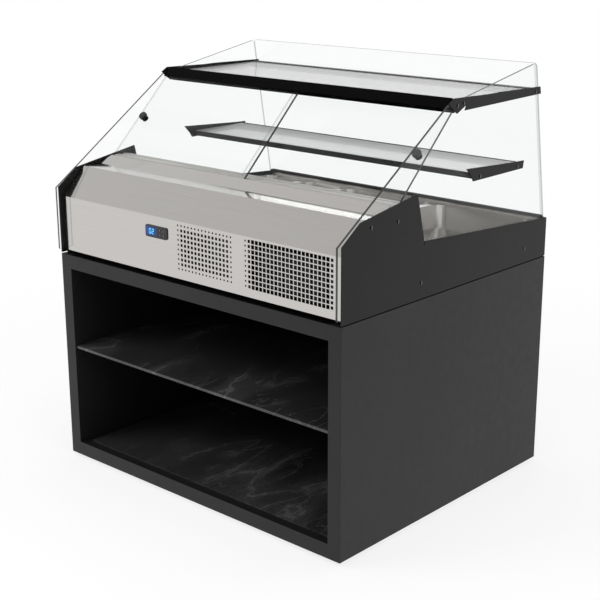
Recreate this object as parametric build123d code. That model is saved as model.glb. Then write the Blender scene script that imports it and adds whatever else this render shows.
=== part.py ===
from build123d import *
import math
import os

# Refrigerated counter display case on an open cabinet, in millimetres.
# x runs across the width, y from the operator's side to the customer's side, z up from the floor.
# Depths are first measured from the cabinet's front face; the export moves them about the middle.
# Depths at the customer's side are taken from the cabinet's depth.

# Cabinet
WIDTH = 1000.0
CABINET_DEPTH = 842.0
CABINET_HEIGHT = 582.0
BOARD = 38.0
BACK_BOARD = 18.0
BOARD_ROUND = 1.0
FOOT_HEIGHT = 12.0
FOOT_RADIUS = 25.0
FOOT_DISC = 8.0
FOOT_NECK_RADIUS = 9.0
FOOT_STUD_RADIUS = 5.0
FOOT_STUD_LENGTH = 24.0
FOOT_INSET_X = 40.0
FOOT_INSET_Y = 60.0
STUD_CLEARANCE = 0.2
STONE_DECK = 3.0
DECK_SETBACK = 26.0
DECK_SIDE_GAP = 20.0
STONE_SHELF = 7.0
SHELF_TOP = 323.0
SHELF_SETBACK = 5.0
SHELF_GAP = 0.3
PIN_RADIUS = 3.0
PIN_DEPTH = 18.0
PIN_PAD = 12.0
PIN_PAD_HEIGHT = 8.0
DOWEL_RADIUS = 4.0
DOWEL_REACH = 25.0
DOWEL_CLEARANCE = 0.1
JOINT_INSET = 90.0

# Refrigerated module, heights measured from the cabinet's top
TRAY = 3.0
TRAY_FRONT = 18.0
TRAY_LIP = 2.0
TRAY_LIP_HEIGHT = 14.0
PANEL = 2.5
GLASS = 6.0
GLASS_GAP = 0.3
PLATE = 3.0
PLATE_GAP = 0.5
PANEL_FRONT = 0.3
PANEL_FRONT_TOP = 183.2
PANEL_BEND = (63.9, 228.1)
PANEL_PEAK = (271.4, 261.0)
PANEL_NOTCH = (300.4, 142.9)
PANEL_REAR = (CABINET_DEPTH - 1.5, 107.5)
SLIT_WIDTH = 2.6
SLIT_DEPTH = 9.0
PANEL_SCREWS = ((99.5, 210.9), (196.2, 208.5), (289.6, 42.8), (CABINET_DEPTH - 104.8, 41.3))
SCREW_RADIUS = 2.0
SCREW_HEAD_RADIUS = 4.0
SCREW_HEAD = 2.2
PANEL_SCREW_LENGTH = 12.0
SHELF_SCREW_LENGTH = 20.0
SCREW_CLEARANCE = 0.1
GLASS_HOLE_RADIUS = 4.0
BOLT_RADIUS = 4.0
BOLT_HEAD_RADIUS = 7.0
BOLT_HEAD = 5.3
BOLT_DEPTH = 30.0
BOLT_CLEARANCE = 0.2
BOLT_INSET = 60.0
BOLT_FRONT_Y = 100.0
BOLT_REAR_Y = CABINET_DEPTH - 42.0

# Side and rear glass
SIDE_GLASS_FRONT = -10.0
SIDE_GLASS_BOTTOM = 15.0
SIDE_GLASS_FRONT_TOP = 183.5
SIDE_GLASS_KNEE = (386.5, 452.2)
REAR_GLASS_FOOT = (CABINET_DEPTH - 13.6, 112.8)
REAR_GLASS_TOP = (CABINET_DEPTH - 80.4, 520.2)
REAR_GLASS_HIDDEN = 8.0
GLASS_CORNER = 10.0
SETTING_BLOCK = 40.0
SETTING_BLOCK_INSET = 70.0
REAR_SHEET = 1.5
REAR_PANEL_OUTER = CABINET_DEPTH - 2.0
REAR_RAIL_LOW = 92.0
REAR_RAIL_LIP = 2.0
REAR_RAIL_TOP = 115.0
GLAND_RADIUS = 9.0
GLAND_BORE = 4.5
GLAND_FLANGE_RADIUS = 12.0
GLAND_FLANGE = 2.0
GLAND_LENGTH = 14.0
GLAND_INSET = 80.0
GLAND_HEIGHT = 50.0

# Stainless front
FASCIA = 1.2
FASCIA_Y = 12.0
FASCIA_BOTTOM = 10.0
FASCIA_BEND = 157.5
LEDGE_FRONT = 86.0
LEDGE_REAR = 138.0
LEDGE = 229.3
DECK_REAR = (182.6, 246.1)
FASCIA_HEM = 14.0
VENT_PITCH = 12.3
VENT_ROWS = 10
VENT_LOW = 36.3
VENT_SPACING = 48.6
RIGHT_VENT_INSET = 37.9
LEFT_VENT_COLUMNS = 16
RIGHT_VENT_COLUMNS = 23
LEFT_HOLE = 7.4
LEFT_HOLE_SECOND = 7.0
LEFT_HOLE_EDGE = 4.4
RIGHT_HOLE = 9.7
RIGHT_HOLE_FIRST = 4.3
RIGHT_HOLE_SECOND = 7.5

# Thermostat
THERMOSTAT_SPACING = 78.2
THERMOSTAT_Z = 117.6
THERMOSTAT_WIDTH = 79.5
THERMOSTAT_HEIGHT = 30.5
THERMOSTAT_PROUD = 3.0
THERMOSTAT_DEPTH = 45.0
THERMOSTAT_BORDER = 4.5
THERMOSTAT_ROUND = 5.0
CUTOUT_GAP = 0.4
DISPLAY_WIDTH = 40.0
DISPLAY_HEIGHT = 22.0
DISPLAY_X = -17.0
DISPLAY_THICK = 1.2
KEY_WIDTH = 7.0
KEY_HEIGHT = 5.0
KEY_DEPTH = 4.4
KEY_PROUD = 0.5
KEY_ROUND = 0.25
KEY_GAP = 0.15
KEY_TRAVEL = 0.8
KEY_STOP_GAP = 0.3
KEY_COLUMNS = (14.0, 28.0)
KEY_ROWS = (-6.0, 6.0)

# Sliding doors, measured along and out of the outer face of the left door
DOOR_ANGLE = 44.2
DOOR_FOOT = (184.5, 246.0)
DOOR_PITCH = 20.6
DOOR_TOP = 303.0
DOOR_ENGAGE = 6.0
DOOR_INSET = 3.0
DOOR_OVERLAP = 38.0
TRACK_GAP = 0.9
TRACK_SEAT_GAP = 0.3
KNOB_UP = 137.0
RIGHT_KNOB_HIGHER = 22.0
KNOB_INSET = 24.0
KNOB_RADIUS = 11.5
KNOB_HEIGHT = 11.0
KNOB_COLLAR_RADIUS = 8.0
KNOB_COLLAR = 2.0
KNOB_ROUND = 2.5
KNOB_STUD_RADIUS = 3.0
KNOB_NUT_RADIUS = 9.0
KNOB_NUT = 2.4
KNOB_GAP = 0.3

# Door tracks
TRACK_FRONT = 176.0
TRACK_REAR = 232.0
TRACK_BOTTOM = 226.0
TRACK_FRONT_TOP = 241.0
TRACK_END_GAP = 0.3
RAIL_WALL = 2.0
RAIL_WEB = 3.0
RAIL_FACE = 2.9
RAIL_FRONT_LOW = 282.5
RAIL_DIVIDER_LOW = 292.0
RAIL_REAR_LOW = 295.0
RAIL_TOP = 314.3
PORT_FRONT = (416.0, 449.0)
PORT_REAR = (440.3, 452.4)
PORT_WALL = 2.4

# Shelves
TOP_SHELF = 455.0
TOP_SHELF_GLASS = 6.0
TOP_SHELF_FRONT = 446.0
TOP_LEDGE_FRONT = 424.5
TOP_LEDGE_REAR = 466.0
SHELF_LEDGE = 2.5
REAR_RAIL_FRONT = CABINET_DEPTH - 107.0
REAR_RAIL_STEP = CABINET_DEPTH - 95.0
REAR_RAIL_BACK = CABINET_DEPTH - 78.0
REAR_RAIL_BOTTOM = 440.0
REAR_RAIL_CREST = 457.0
PORT_BACK = (CABINET_DEPTH - 86.5, 448.0)
TOP_BRACKET = (
    (405.0, 467.3), (384.0, 456.0), (398.8, 442.0), (417.2, 430.0), (455.8, 448.0), (448.6, 434.4),
    (552.0, 436.4), (CABINET_DEPTH - 60.3, 441.0), (CABINET_DEPTH - 63.9, 459.4), (593.5, 463.5),
    (550.0, 463.0),
)
MIDDLE_SHELF_GLASS = 5.0
MIDDLE_BASE = 261.0
MIDDLE_SEAT = 270.5
MIDDLE_FRONT = 500.0
MIDDLE_REAR = CABINET_DEPTH - 147.0
MIDDLE_BASE_WIDTH = 28.0
MIDDLE_LIP = 2.0
MIDDLE_FRONT_LIP = 275.0
MIDDLE_REAR_LIP = 277.0
MIDDLE_PORT_FRONT = (520.3, 266.0)
MIDDLE_PORT_REAR = (CABINET_DEPTH - 156.2, 266.0)
MIDDLE_BRACKET = (
    (465.0, 291.0), (486.3, 268.8), (494.0, 256.5), (CABINET_DEPTH - 129.0, 258.0),
    (CABINET_DEPTH - 125.2, 277.5), (CABINET_DEPTH - 163.0, 278.7),
)

# Well, pans and insulation
PAN_DROP = 9.0
PAN_FRONT = 288.5
PAN_REAR_GAP = 5.0
WIDE_PAN_EXTRA = 1.0
PAN_DEPTH = 65.0
PAN_SHEET = 1.0
PAN_RIM = 12.0
PAN_TAPER = 8.0
PAN_CORNER = 28.0
PAN_RIM_CORNER = 12.0
PAN_GAP = 0.4
PAN_SEAT_GAP = 0.2
TUB_SHEET = 1.0
TUB_CLEARANCE = 2.5
TUB_FRONT_CLEARANCE = 5.0
TUB_FLOOR_GAP = 3.0
TUB_FLANGE_FRONT = 6.0
TUB_FLANGE_REAR = 1.5
BAR_WIDTH = 14.0
BAR_DEPTH = 8.0
BULKHEAD_Y = 195.0
BULKHEAD = 1.2
INNER_PANEL = 1.0
FOAM_REAR = CABINET_DEPTH - 57.0
FOAM_GAP = 0.3
FOAM_FRONT_TOP = 200.0
FOAM_FRONT_WIDTH = 45.0

# Refrigeration
PIPE_RADIUS = 3.5
PIPE_BEND = 12.0
PIPE_GAP = 0.3
PIPE_PITCH = 100.0
PIPE_FIRST_RUN = 60.0
PIPE_LEFT_INSET = 120.0
PIPE_TURN_SPACING = 60.0
SUCTION_SPACING = 120.0
SUCTION_HEIGHT = 90.0
DISCHARGE_HEIGHT = 110.0
LIQUID_HEIGHT = 20.0
COMPRESSOR_SPACING = 98.0
COMPRESSOR_Y = 104.0
COMPRESSOR_RADIUS = 56.0
COMPRESSOR_HEIGHT = 128.0
COMPRESSOR_DOME = 26.0
COMPRESSOR_PLATE = 3.0
COMPRESSOR_FEET_X = 55.0
COMPRESSOR_FEET_Y = 48.0
GROMMET_RADIUS = 9.0
GROMMET_HEIGHT = 12.0
COIL_SHIFT = 8.5
COIL_WIDTH = 252.0
COIL_Y = 34.0
COIL_DEPTH = 28.0
COIL_HEIGHT = 132.0
COIL_TUBE_RADIUS = 4.0
COIL_TUBE_ROWS = 5
COIL_END = 2.0
FIN = 1.2
FINS = 32
SHROUD = 2.0
SHROUD_HOLE = 59.0
SHROUD_RING = 12.0
FAN_RADIUS = 55.0
FAN_HUB = 17.0
FAN_DEPTH = 18.0
FAN_GAP = 4.0
FAN_BLADES = 5
FAN_BLADE = 2.0
FAN_PITCH = 32.0
SHAFT_RADIUS = 3.0
SHAFT_LENGTH = 22.0
BEARING_GAP = 0.05
MOTOR_RADIUS = 28.0
MOTOR_LENGTH = 40.0
MOTOR_STRAP = 14.0
MOTOR_STRAP_THICK = 2.0
MOTOR_STRAP_REACH = 88.0
DRIER_SPACING = 42.0
DRIER_Y = 134.0
DRIER_RADIUS = 10.0
DRIER_LOW = 35.0
DRIER_HEIGHT = 90.0
CONTROL_BOX_INSET = 170.0
CONTROL_BOX_WIDTH = 130.0
CONTROL_BOX_Y = (60.0, 150.0)
CONTROL_BOX_TOP = 72.0
CONTROL_BOX_ROUND = 3.0
PROBE_RADIUS = 3.0
PROBE_LENGTH = 40.0

TOLERANCE = 1e-6

# Values that follow from those above
HALF = WIDTH / 2
INNER_HALF = HALF - BOARD
CABINET_BOTTOM = FOOT_HEIGHT
BASE = CABINET_BOTTOM + CABINET_HEIGHT
GLASS_OUTER = HALF - PANEL
GLASS_INNER = GLASS_OUTER - GLASS
RAIL_HALF = GLASS_INNER - TRACK_END_GAP
PLATE_OUTER = GLASS_INNER - PLATE_GAP
PLATE_INNER = PLATE_OUTER - PLATE
WELL_HALF = PLATE_INNER - PLATE_GAP / 2
TUB_HALF = WELL_HALF - FOAM_GAP / 2
TILT = math.atan2(PANEL_NOTCH[1] - PANEL_REAR[1], PANEL_REAR[0] - PANEL_NOTCH[0])
RIM_HEIGHT = PANEL_NOTCH[1] - PAN_DROP + (PANEL_NOTCH[0] - PAN_FRONT) * math.tan(TILT)
PAN_REAR = REAR_GLASS_FOOT[0] - GLASS - PAN_REAR_GAP
PAN_LENGTH = (PAN_REAR - PAN_FRONT) / math.cos(TILT)
SEAT = -PAN_SHEET - PAN_SEAT_GAP
TUB_BOTTOM = SEAT - PAN_DEPTH - TUB_FLOOR_GAP
SLOPE = math.radians(DOOR_ANGLE)
RIGHT_VENT_X = HALF - RIGHT_VENT_INSET - (RIGHT_VENT_COLUMNS - 1) * VENT_PITCH
LEFT_VENT_X = RIGHT_VENT_X - VENT_SPACING - (LEFT_VENT_COLUMNS - 1) * VENT_PITCH
THERMOSTAT_X = LEFT_VENT_X - THERMOSTAT_SPACING
COIL_LEFT = RIGHT_VENT_X + COIL_SHIFT
DRIER_X = COIL_LEFT - DRIER_SPACING
COMPRESSOR_X = DRIER_X - COMPRESSOR_SPACING
SUCTION_X = COMPRESSOR_X - SUCTION_SPACING
PIPE_TURN_X = DRIER_X - PIPE_TURN_SPACING
PIPE_LEFT_X = PIPE_LEFT_INSET - HALF
CONTROL_BOX_LEFT = CONTROL_BOX_INSET - HALF
GLAND_X = GLAND_INSET - HALF
BOLT_X = HALF - BOLT_INSET
FASCIA_PATH = (
    (FASCIA_Y, FASCIA_BOTTOM), (FASCIA_Y, FASCIA_BEND), (LEDGE_FRONT, LEDGE), (LEDGE_REAR, LEDGE), DECK_REAR,
)
MIDDLE_DEPTH = (SIDE_GLASS_FRONT + CABINET_DEPTH) / 2


def block(x, y, z):
    """Box between pairs of x, y and z, with z from the floor."""
    size = Box(x[1] - x[0], y[1] - y[0], z[1] - z[0])
    return Pos((x[0] + x[1]) / 2, (y[0] + y[1]) / 2, (z[0] + z[1]) / 2) * size


def module_block(x, y, z):
    """Box whose heights are measured from the cabinet's top."""
    return block(x, y, (BASE + z[0], BASE + z[1]))


def outline(points, x_low, x_high):
    """Solid of a depth and height outline, from one x to another, on the cabinet's top."""
    face = make_face(Polyline(*points, close=True))
    placed = Plane(origin=(x_low, 0, BASE), x_dir=(0, 1, 0), z_dir=(1, 0, 0)) * face
    return extrude(placed, amount=x_high - x_low, dir=(1, 0, 0))


def direction(start, end):
    """Unit step from one point to the next."""
    length = math.dist(start, end)
    return (end[0] - start[0]) / length, (end[1] - start[1]) / length


def beside(points, distance):
    """The same bent line, moved to the left of its direction of travel."""
    steps = [direction(a, b) for a, b in zip(points, points[1:])]
    before = [steps[0], *steps]
    after = [*steps, steps[-1]]
    moved = []
    for (y, z), (by, bz), (ay, az) in zip(points, before, after):
        share = distance / (1 + by * ay + bz * az)
        moved.append((y - (bz + az) * share, z + (by + ay) * share))
    return moved


def folded(points, thickness, x_low, x_high):
    """Folded sheet along a line, with its thickness on the line's left."""
    return outline([*points, *reversed(beside(points, thickness))], x_low, x_high)


def across(radius, x_low, x_high, y, z):
    """Cylinder along x, with its height measured from the cabinet's top."""
    shape = Cylinder(radius, x_high - x_low)
    return Pos((x_low + x_high) / 2, y, BASE + z) * Rot(0, 90, 0) * shape


def upright(radius, x, y, z_low, z_high):
    """Cylinder along z, with heights from the floor."""
    return Pos(x, y, (z_low + z_high) / 2) * Cylinder(radius, z_high - z_low)


def along(radius, x, z, y_low, y_high):
    """Cylinder along y, with its height measured from the cabinet's top."""
    return Pos(x, (y_low + y_high) / 2, BASE + z) * Rot(90, 0, 0) * Cylinder(radius, y_high - y_low)


def other_side(shape):
    """The same piece on the other side of the case."""
    return mirror(shape, about=Plane.YZ)


def both_sides(shapes):
    """Pieces of one side, with their mirror images."""
    return [*shapes, *(other_side(shape) for shape in shapes)]


def group(shapes):
    """Separate solids that share a node."""
    return Compound(children=[solid for shape in shapes for solid in shape.solids()])


# Cabinet

def joint_depths():
    """Depths of the dowels, the shelf pins and the joints along a board."""
    middle = CABINET_DEPTH / 2
    return JOINT_INSET, middle, CABINET_DEPTH - JOINT_INSET


def board_levels():
    """Heights of the middles of the bottom and top boards."""
    return CABINET_BOTTOM + BOARD / 2, BASE - BOARD / 2


def shelf_underside():
    return CABINET_BOTTOM + SHELF_TOP - STONE_SHELF


def pin_level():
    return shelf_underside() - PIN_PAD_HEIGHT / 2


def dowel_pieces(radius, reach):
    """Dowels, or their holes, across the joints of the right side board."""
    shapes = []
    for z in board_levels():
        for y in joint_depths():
            shapes.append(across(radius, INNER_HALF - reach, INNER_HALF + reach, y, z - BASE))
    return shapes


def cabinet_dowels():
    return group(both_sides(dowel_pieces(DOWEL_RADIUS, DOWEL_REACH)))


def dowel_holes():
    return both_sides(dowel_pieces(DOWEL_RADIUS + DOWEL_CLEARANCE, DOWEL_REACH + DOWEL_CLEARANCE))


def pin_shank(radius, depth, y):
    return across(radius, INNER_HALF, INNER_HALF + depth, y, pin_level() - BASE)


def shelf_pins():
    """Pins in the side boards, each with a pad that carries the stone shelf."""
    pins = []
    for y in joint_depths():
        top = shelf_underside()
        depth = (y - PIN_PAD / 2, y + PIN_PAD / 2)
        pad = block((INNER_HALF - PIN_PAD, INNER_HALF), depth, (top - PIN_PAD_HEIGHT, top))
        pins.append(pad + pin_shank(PIN_RADIUS, PIN_DEPTH, y))
    return group(both_sides(pins))


def right_side_board():
    board = block((INNER_HALF, HALF), (0, CABINET_DEPTH), (CABINET_BOTTOM, BASE))
    outer = board.edges().filter_by(Axis.Z).sort_by(Axis.X)[-2:]
    board = fillet(outer, BOARD_ROUND)
    holes = dowel_pieces(DOWEL_RADIUS + DOWEL_CLEARANCE, DOWEL_REACH + DOWEL_CLEARANCE)
    holes += [pin_shank(PIN_RADIUS + DOWEL_CLEARANCE, PIN_DEPTH + DOWEL_CLEARANCE, y) for y in joint_depths()]
    return board - holes


def feet_places():
    """Middles of the four levelling feet."""
    x = INNER_HALF - FOOT_INSET_X
    return [(side * x, y) for side in (-1, 1) for y in (FOOT_INSET_Y, CABINET_DEPTH - FOOT_INSET_Y)]


def bolt_places():
    return [(side * BOLT_X, y) for side in (-1, 1) for y in (BOLT_FRONT_Y, BOLT_REAR_Y)]


def cross_board(z_low):
    size = (-INNER_HALF, INNER_HALF), (0, CABINET_DEPTH - BACK_BOARD)
    return block(*size, (z_low, z_low + BOARD)) - dowel_holes()


def bottom_board():
    top = CABINET_BOTTOM + FOOT_STUD_LENGTH + STUD_CLEARANCE
    radius = FOOT_STUD_RADIUS + STUD_CLEARANCE
    studs = [upright(radius, x, y, CABINET_BOTTOM, top) for x, y in feet_places()]
    return cross_board(CABINET_BOTTOM) - studs


def top_board():
    radius = BOLT_RADIUS + BOLT_CLEARANCE
    holes = [upright(radius, x, y, BASE - BOLT_DEPTH - BOLT_CLEARANCE, BASE) for x, y in bolt_places()]
    return cross_board(BASE - BOARD) - holes


def back_board():
    depth = (CABINET_DEPTH - BACK_BOARD, CABINET_DEPTH)
    return block((-INNER_HALF, INNER_HALF), depth, (CABINET_BOTTOM, BASE))


def stone_deck():
    half = INNER_HALF - DECK_SIDE_GAP
    floor = CABINET_BOTTOM + BOARD
    return block((-half, half), (DECK_SETBACK, CABINET_DEPTH - BACK_BOARD), (floor, floor + STONE_DECK))


def stone_shelf():
    half = INNER_HALF - SHELF_GAP
    depth = SHELF_SETBACK, CABINET_DEPTH - BACK_BOARD - SHELF_GAP
    return block((-half, half), depth, (shelf_underside(), CABINET_BOTTOM + SHELF_TOP))


def levelling_feet():
    """Screw feet: a disc, a neck and a stud in the bottom board."""
    feet = []
    for x, y in feet_places():
        disc = upright(FOOT_RADIUS, x, y, 0, FOOT_DISC)
        neck = upright(FOOT_NECK_RADIUS, x, y, FOOT_DISC, FOOT_HEIGHT)
        stud = upright(FOOT_STUD_RADIUS, x, y, FOOT_HEIGHT, CABINET_BOTTOM + FOOT_STUD_LENGTH)
        feet.append(disc + neck + stud)
    return group(feet)


# Module shell

def floor_tray():
    """Floor of the module, with an upturned front lip."""
    floor = module_block((-GLASS_OUTER, GLASS_OUTER), (TRAY_FRONT, REAR_PANEL_OUTER), (0, TRAY))
    lip = module_block((-WELL_HALF, WELL_HALF), (TRAY_FRONT, TRAY_FRONT + TRAY_LIP), (TRAY, TRAY_LIP_HEIGHT))
    holes = [upright(BOLT_RADIUS + BOLT_CLEARANCE, x, y, BASE, BASE + TRAY) for x, y in bolt_places()]
    return floor + lip - holes


def module_bolts():
    """Bolts that hold the module on the cabinet."""
    bolts = []
    for x, y in bolt_places():
        low = BASE + TRAY
        head = Pos(x, y, low) * extrude(RegularPolygon(BOLT_HEAD_RADIUS, 6), BOLT_HEAD)
        bolts.append(head + upright(BOLT_RADIUS, x, y, BASE - BOLT_DEPTH, low))
    return group(bolts)


def side_panel():
    """Right outer panel of folded steel, stepped behind the doors."""
    points = [
        (PANEL_FRONT, TRAY), (PANEL_FRONT, PANEL_FRONT_TOP), PANEL_BEND, PANEL_PEAK, PANEL_NOTCH, PANEL_REAR,
        (PANEL_REAR[0], TRAY),
    ]
    panel = outline(points, GLASS_OUTER, HALF)
    y, z = PANEL_NOTCH
    depth = (y - SLIT_WIDTH / 2, y + SLIT_WIDTH / 2)
    slit = module_block((GLASS_OUTER, HALF), depth, (z - SLIT_DEPTH, z + SLIT_DEPTH))
    return panel - slit - panel_screws(SCREW_CLEARANCE)


def screw(y, z, clearance, length):
    """Countersunk screw that goes in from the right side, or its hole."""
    shank = across(SCREW_RADIUS + clearance, HALF - length - clearance, HALF, y, z)
    wide = SCREW_HEAD_RADIUS + clearance
    head = Cone(SCREW_RADIUS + clearance, wide, SCREW_HEAD, align=(Align.CENTER, Align.CENTER, Align.MAX))
    return shank + Pos(HALF, y, BASE + z) * Rot(0, 90, 0) * head


def panel_screws(clearance):
    return [screw(y, z, clearance, PANEL_SCREW_LENGTH) for y, z in PANEL_SCREWS]


def shelf_screws(places, clearance):
    return [screw(y, z, clearance, SHELF_SCREW_LENGTH) for y, z in places]


def shelf_ports():
    return (PORT_FRONT, PORT_REAR, PORT_BACK, MIDDLE_PORT_FRONT, MIDDLE_PORT_REAR)


def countersunk_screws():
    return group(both_sides([*panel_screws(0), *shelf_screws(shelf_ports(), 0)]))


def fascia_inside(y):
    """Height of the underside of the fascia's rear slope at a depth."""
    points = beside(FASCIA_PATH, -FASCIA)
    (y1, z1), (y2, z2) = points[-2:]
    return z1 + (z2 - z1) * (y - y1) / (y2 - y1)


def well_height(y, out):
    """Height, at a depth, of a plane parallel to the pan rims and out of them."""
    return RIM_HEIGHT + out / math.cos(TILT) - (y - PAN_FRONT) * math.tan(TILT)


def well_plane():
    return Plane(
        origin=(0, PAN_FRONT, BASE + RIM_HEIGHT), x_dir=(1, 0, 0), z_dir=(0, math.sin(TILT), math.cos(TILT))
    )


def inner_panel_line():
    """Underside of the sloping panel between the lower track and the pans."""
    front = PAN_FRONT - TUB_FLANGE_FRONT
    foot = PAN_FRONT - PAN_SHEET
    start = (TRACK_REAR + TRACK_END_GAP, DOOR_FOOT[1])
    return [start, (front, well_height(front, SEAT)), (foot, well_height(foot, SEAT))]


def inner_plate():
    """Right inner plate, which carries the fascia, the lower track and the well."""
    inside = beside(FASCIA_PATH, -FASCIA)
    start, low = inner_panel_line()[:2]
    step = direction(start, low)
    track_rear = TRACK_REAR - TRACK_END_GAP
    rear = PAN_FRONT + PAN_LENGTH * math.cos(TILT) - PAN_RIM / 2
    points = [
        (TRAY_FRONT + TRAY_LIP, TRAY), (TRAY_FRONT + TRAY_LIP, FASCIA_HEM), (inside[0][0], FASCIA_HEM),
        *inside[1:-1], (TRACK_FRONT - TRACK_END_GAP, fascia_inside(TRACK_FRONT - TRACK_END_GAP)),
        (TRACK_FRONT - TRACK_END_GAP, TRACK_BOTTOM), (track_rear, TRACK_BOTTOM),
        (low[0] + step[1] * PLATE, low[1] + step[1] * PLATE),
        (low[0], well_height(low[0], SEAT - TUB_SHEET - PLATE)),
        (rear, well_height(rear, SEAT - TUB_SHEET - PLATE)), (rear, TRAY),
    ]
    plate = outline(points, PLATE_INNER, PLATE_OUTER)
    return plate - panel_screws(SCREW_CLEARANCE)


def rear_glass_line(inside):
    """Foot and top of the rear glass: its outer face, or a line inside it."""
    line = [REAR_GLASS_FOOT, REAR_GLASS_TOP]
    return beside(line, inside)


def on_line(line, z):
    """Depth of a line at a height."""
    (y1, z1), (y2, z2) = line
    return y1 + (y2 - y1) * (z - z1) / (z2 - z1)


def side_glass():
    """Right side glass, from the module's floor to the top of the rear glass."""
    line = rear_glass_line(GLASS + GLASS_GAP)
    foot = (on_line(line, REAR_GLASS_FOOT[1]), REAR_GLASS_FOOT[1])
    points = [
        (SIDE_GLASS_FRONT, SIDE_GLASS_BOTTOM), (SIDE_GLASS_FRONT, SIDE_GLASS_FRONT_TOP), SIDE_GLASS_KNEE,
        line[1], foot, (foot[0], SIDE_GLASS_BOTTOM),
    ]
    pane = outline(points, GLASS_INNER, GLASS_OUTER)
    corner = pane.edges().filter_by(Axis.X).sort_by(Axis.Z)[-1]
    pane = fillet(corner, GLASS_CORNER)
    places = (*PANEL_SCREWS, *shelf_ports())
    holes = [across(GLASS_HOLE_RADIUS, GLASS_INNER, GLASS_OUTER, y, z) for y, z in places]
    return pane - holes


def glass_setting_blocks():
    """Rubber blocks that the side glasses stand on."""
    blocks = []
    for y in (SETTING_BLOCK_INSET, BOLT_REAR_Y - SETTING_BLOCK_INSET):
        depth = (y - SETTING_BLOCK / 2, y + SETTING_BLOCK / 2)
        blocks.append(module_block((GLASS_INNER, GLASS_OUTER), depth, (TRAY, SIDE_GLASS_BOTTOM)))
    return group(both_sides(blocks))


def rear_glass_section(gap):
    """Outline of the rear glass, widened by a gap, from its hidden foot to its top."""
    foot, top = rear_glass_line(-gap)
    step = direction(foot, top)
    down = REAR_GLASS_HIDDEN + gap
    start = (foot[0] - step[0] * down, foot[1] - step[1] * down)
    line = [start, top]
    return [*line, *reversed(beside(line, GLASS + 2 * gap))]


def rear_glass():
    """Leaning customer-side glass, with rounded top corners."""
    half = GLASS_OUTER - GLASS_GAP
    pane = outline(rear_glass_section(0), -half, half)
    foot, top = rear_glass_line(0)
    step = direction(foot, top)
    normal = (0, -step[1], step[0])
    corners = [edge for edge in pane.edges() if is_parallel(edge, normal)]
    return fillet([edge for edge in corners if edge.center().Z > BASE + TOP_SHELF], GLASS_CORNER)


def is_parallel(edge, vector):
    """Whether a straight edge runs along a vector."""
    tangent = edge % 0
    dot = abs(tangent.X * vector[0] + tangent.Y * vector[1] + tangent.Z * vector[2])
    return dot > 1 - TOLERANCE


def rear_glass_rail():
    """Black rail that holds the foot of the rear glass."""
    lip = on_line(rear_glass_line(GLASS + GLASS_GAP), REAR_RAIL_TOP) - REAR_RAIL_LIP
    back = REAR_PANEL_OUTER - REAR_SHEET
    outer = REAR_GLASS_FOOT[0] + GLASS_GAP + REAR_RAIL_LIP
    points = [
        (lip, REAR_RAIL_LOW), (lip, REAR_RAIL_TOP), (outer, REAR_RAIL_TOP), (back, PANEL_REAR[1]),
        (back, REAR_RAIL_LOW),
    ]
    return outline(points, -RAIL_HALF, RAIL_HALF) - outline(rear_glass_section(GLASS_GAP), -HALF, HALF)


def rear_panel():
    half = GLASS_OUTER - GLASS_GAP
    depth = (REAR_PANEL_OUTER - REAR_SHEET, REAR_PANEL_OUTER)
    sheet = module_block((-half, half), depth, (TRAY, PANEL_REAR[1]))
    radius = GLAND_RADIUS + SCREW_CLEARANCE
    return sheet - along(radius, GLAND_X, GLAND_HEIGHT, *depth)


def cable_gland():
    """Bushing that the supply cord goes in through."""
    back = REAR_PANEL_OUTER
    body = along(GLAND_RADIUS, GLAND_X, GLAND_HEIGHT, back - GLAND_LENGTH, back)
    flange = along(GLAND_FLANGE_RADIUS, GLAND_X, GLAND_HEIGHT, back, back + GLAND_FLANGE)
    return body + flange - along(GLAND_BORE, GLAND_X, GLAND_HEIGHT, back - GLAND_LENGTH, back + GLAND_FLANGE)


# Stainless front

def square_wire(x, z, width, height):
    """Wire of a rectangular hole in the fascia, in its own plane."""
    return Pos(x, z) * Wire.make_rect(width, height)


def left_hole(column, row):
    """Side of a hole in the left vent: it shrinks at the vent's edge."""
    ring = min(column, row, LEFT_VENT_COLUMNS - 1 - column, VENT_ROWS - 1 - row)
    return (LEFT_HOLE_EDGE, LEFT_HOLE_SECOND)[ring] if ring < 2 else LEFT_HOLE


def right_hole(column, row):
    """Side of a hole in the right vent: it shrinks in the outer columns."""
    if column == 0:
        return RIGHT_HOLE_FIRST
    return RIGHT_HOLE_SECOND if column in (1, RIGHT_VENT_COLUMNS - 1) else RIGHT_HOLE


def vent(x_first, columns, hole):
    """Wires of a vent's square holes."""
    wires = []
    for column in range(columns):
        for row in range(VENT_ROWS):
            side = hole(column, row)
            wires.append(square_wire(x_first + column * VENT_PITCH, VENT_LOW + row * VENT_PITCH, side, side))
    return wires


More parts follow.
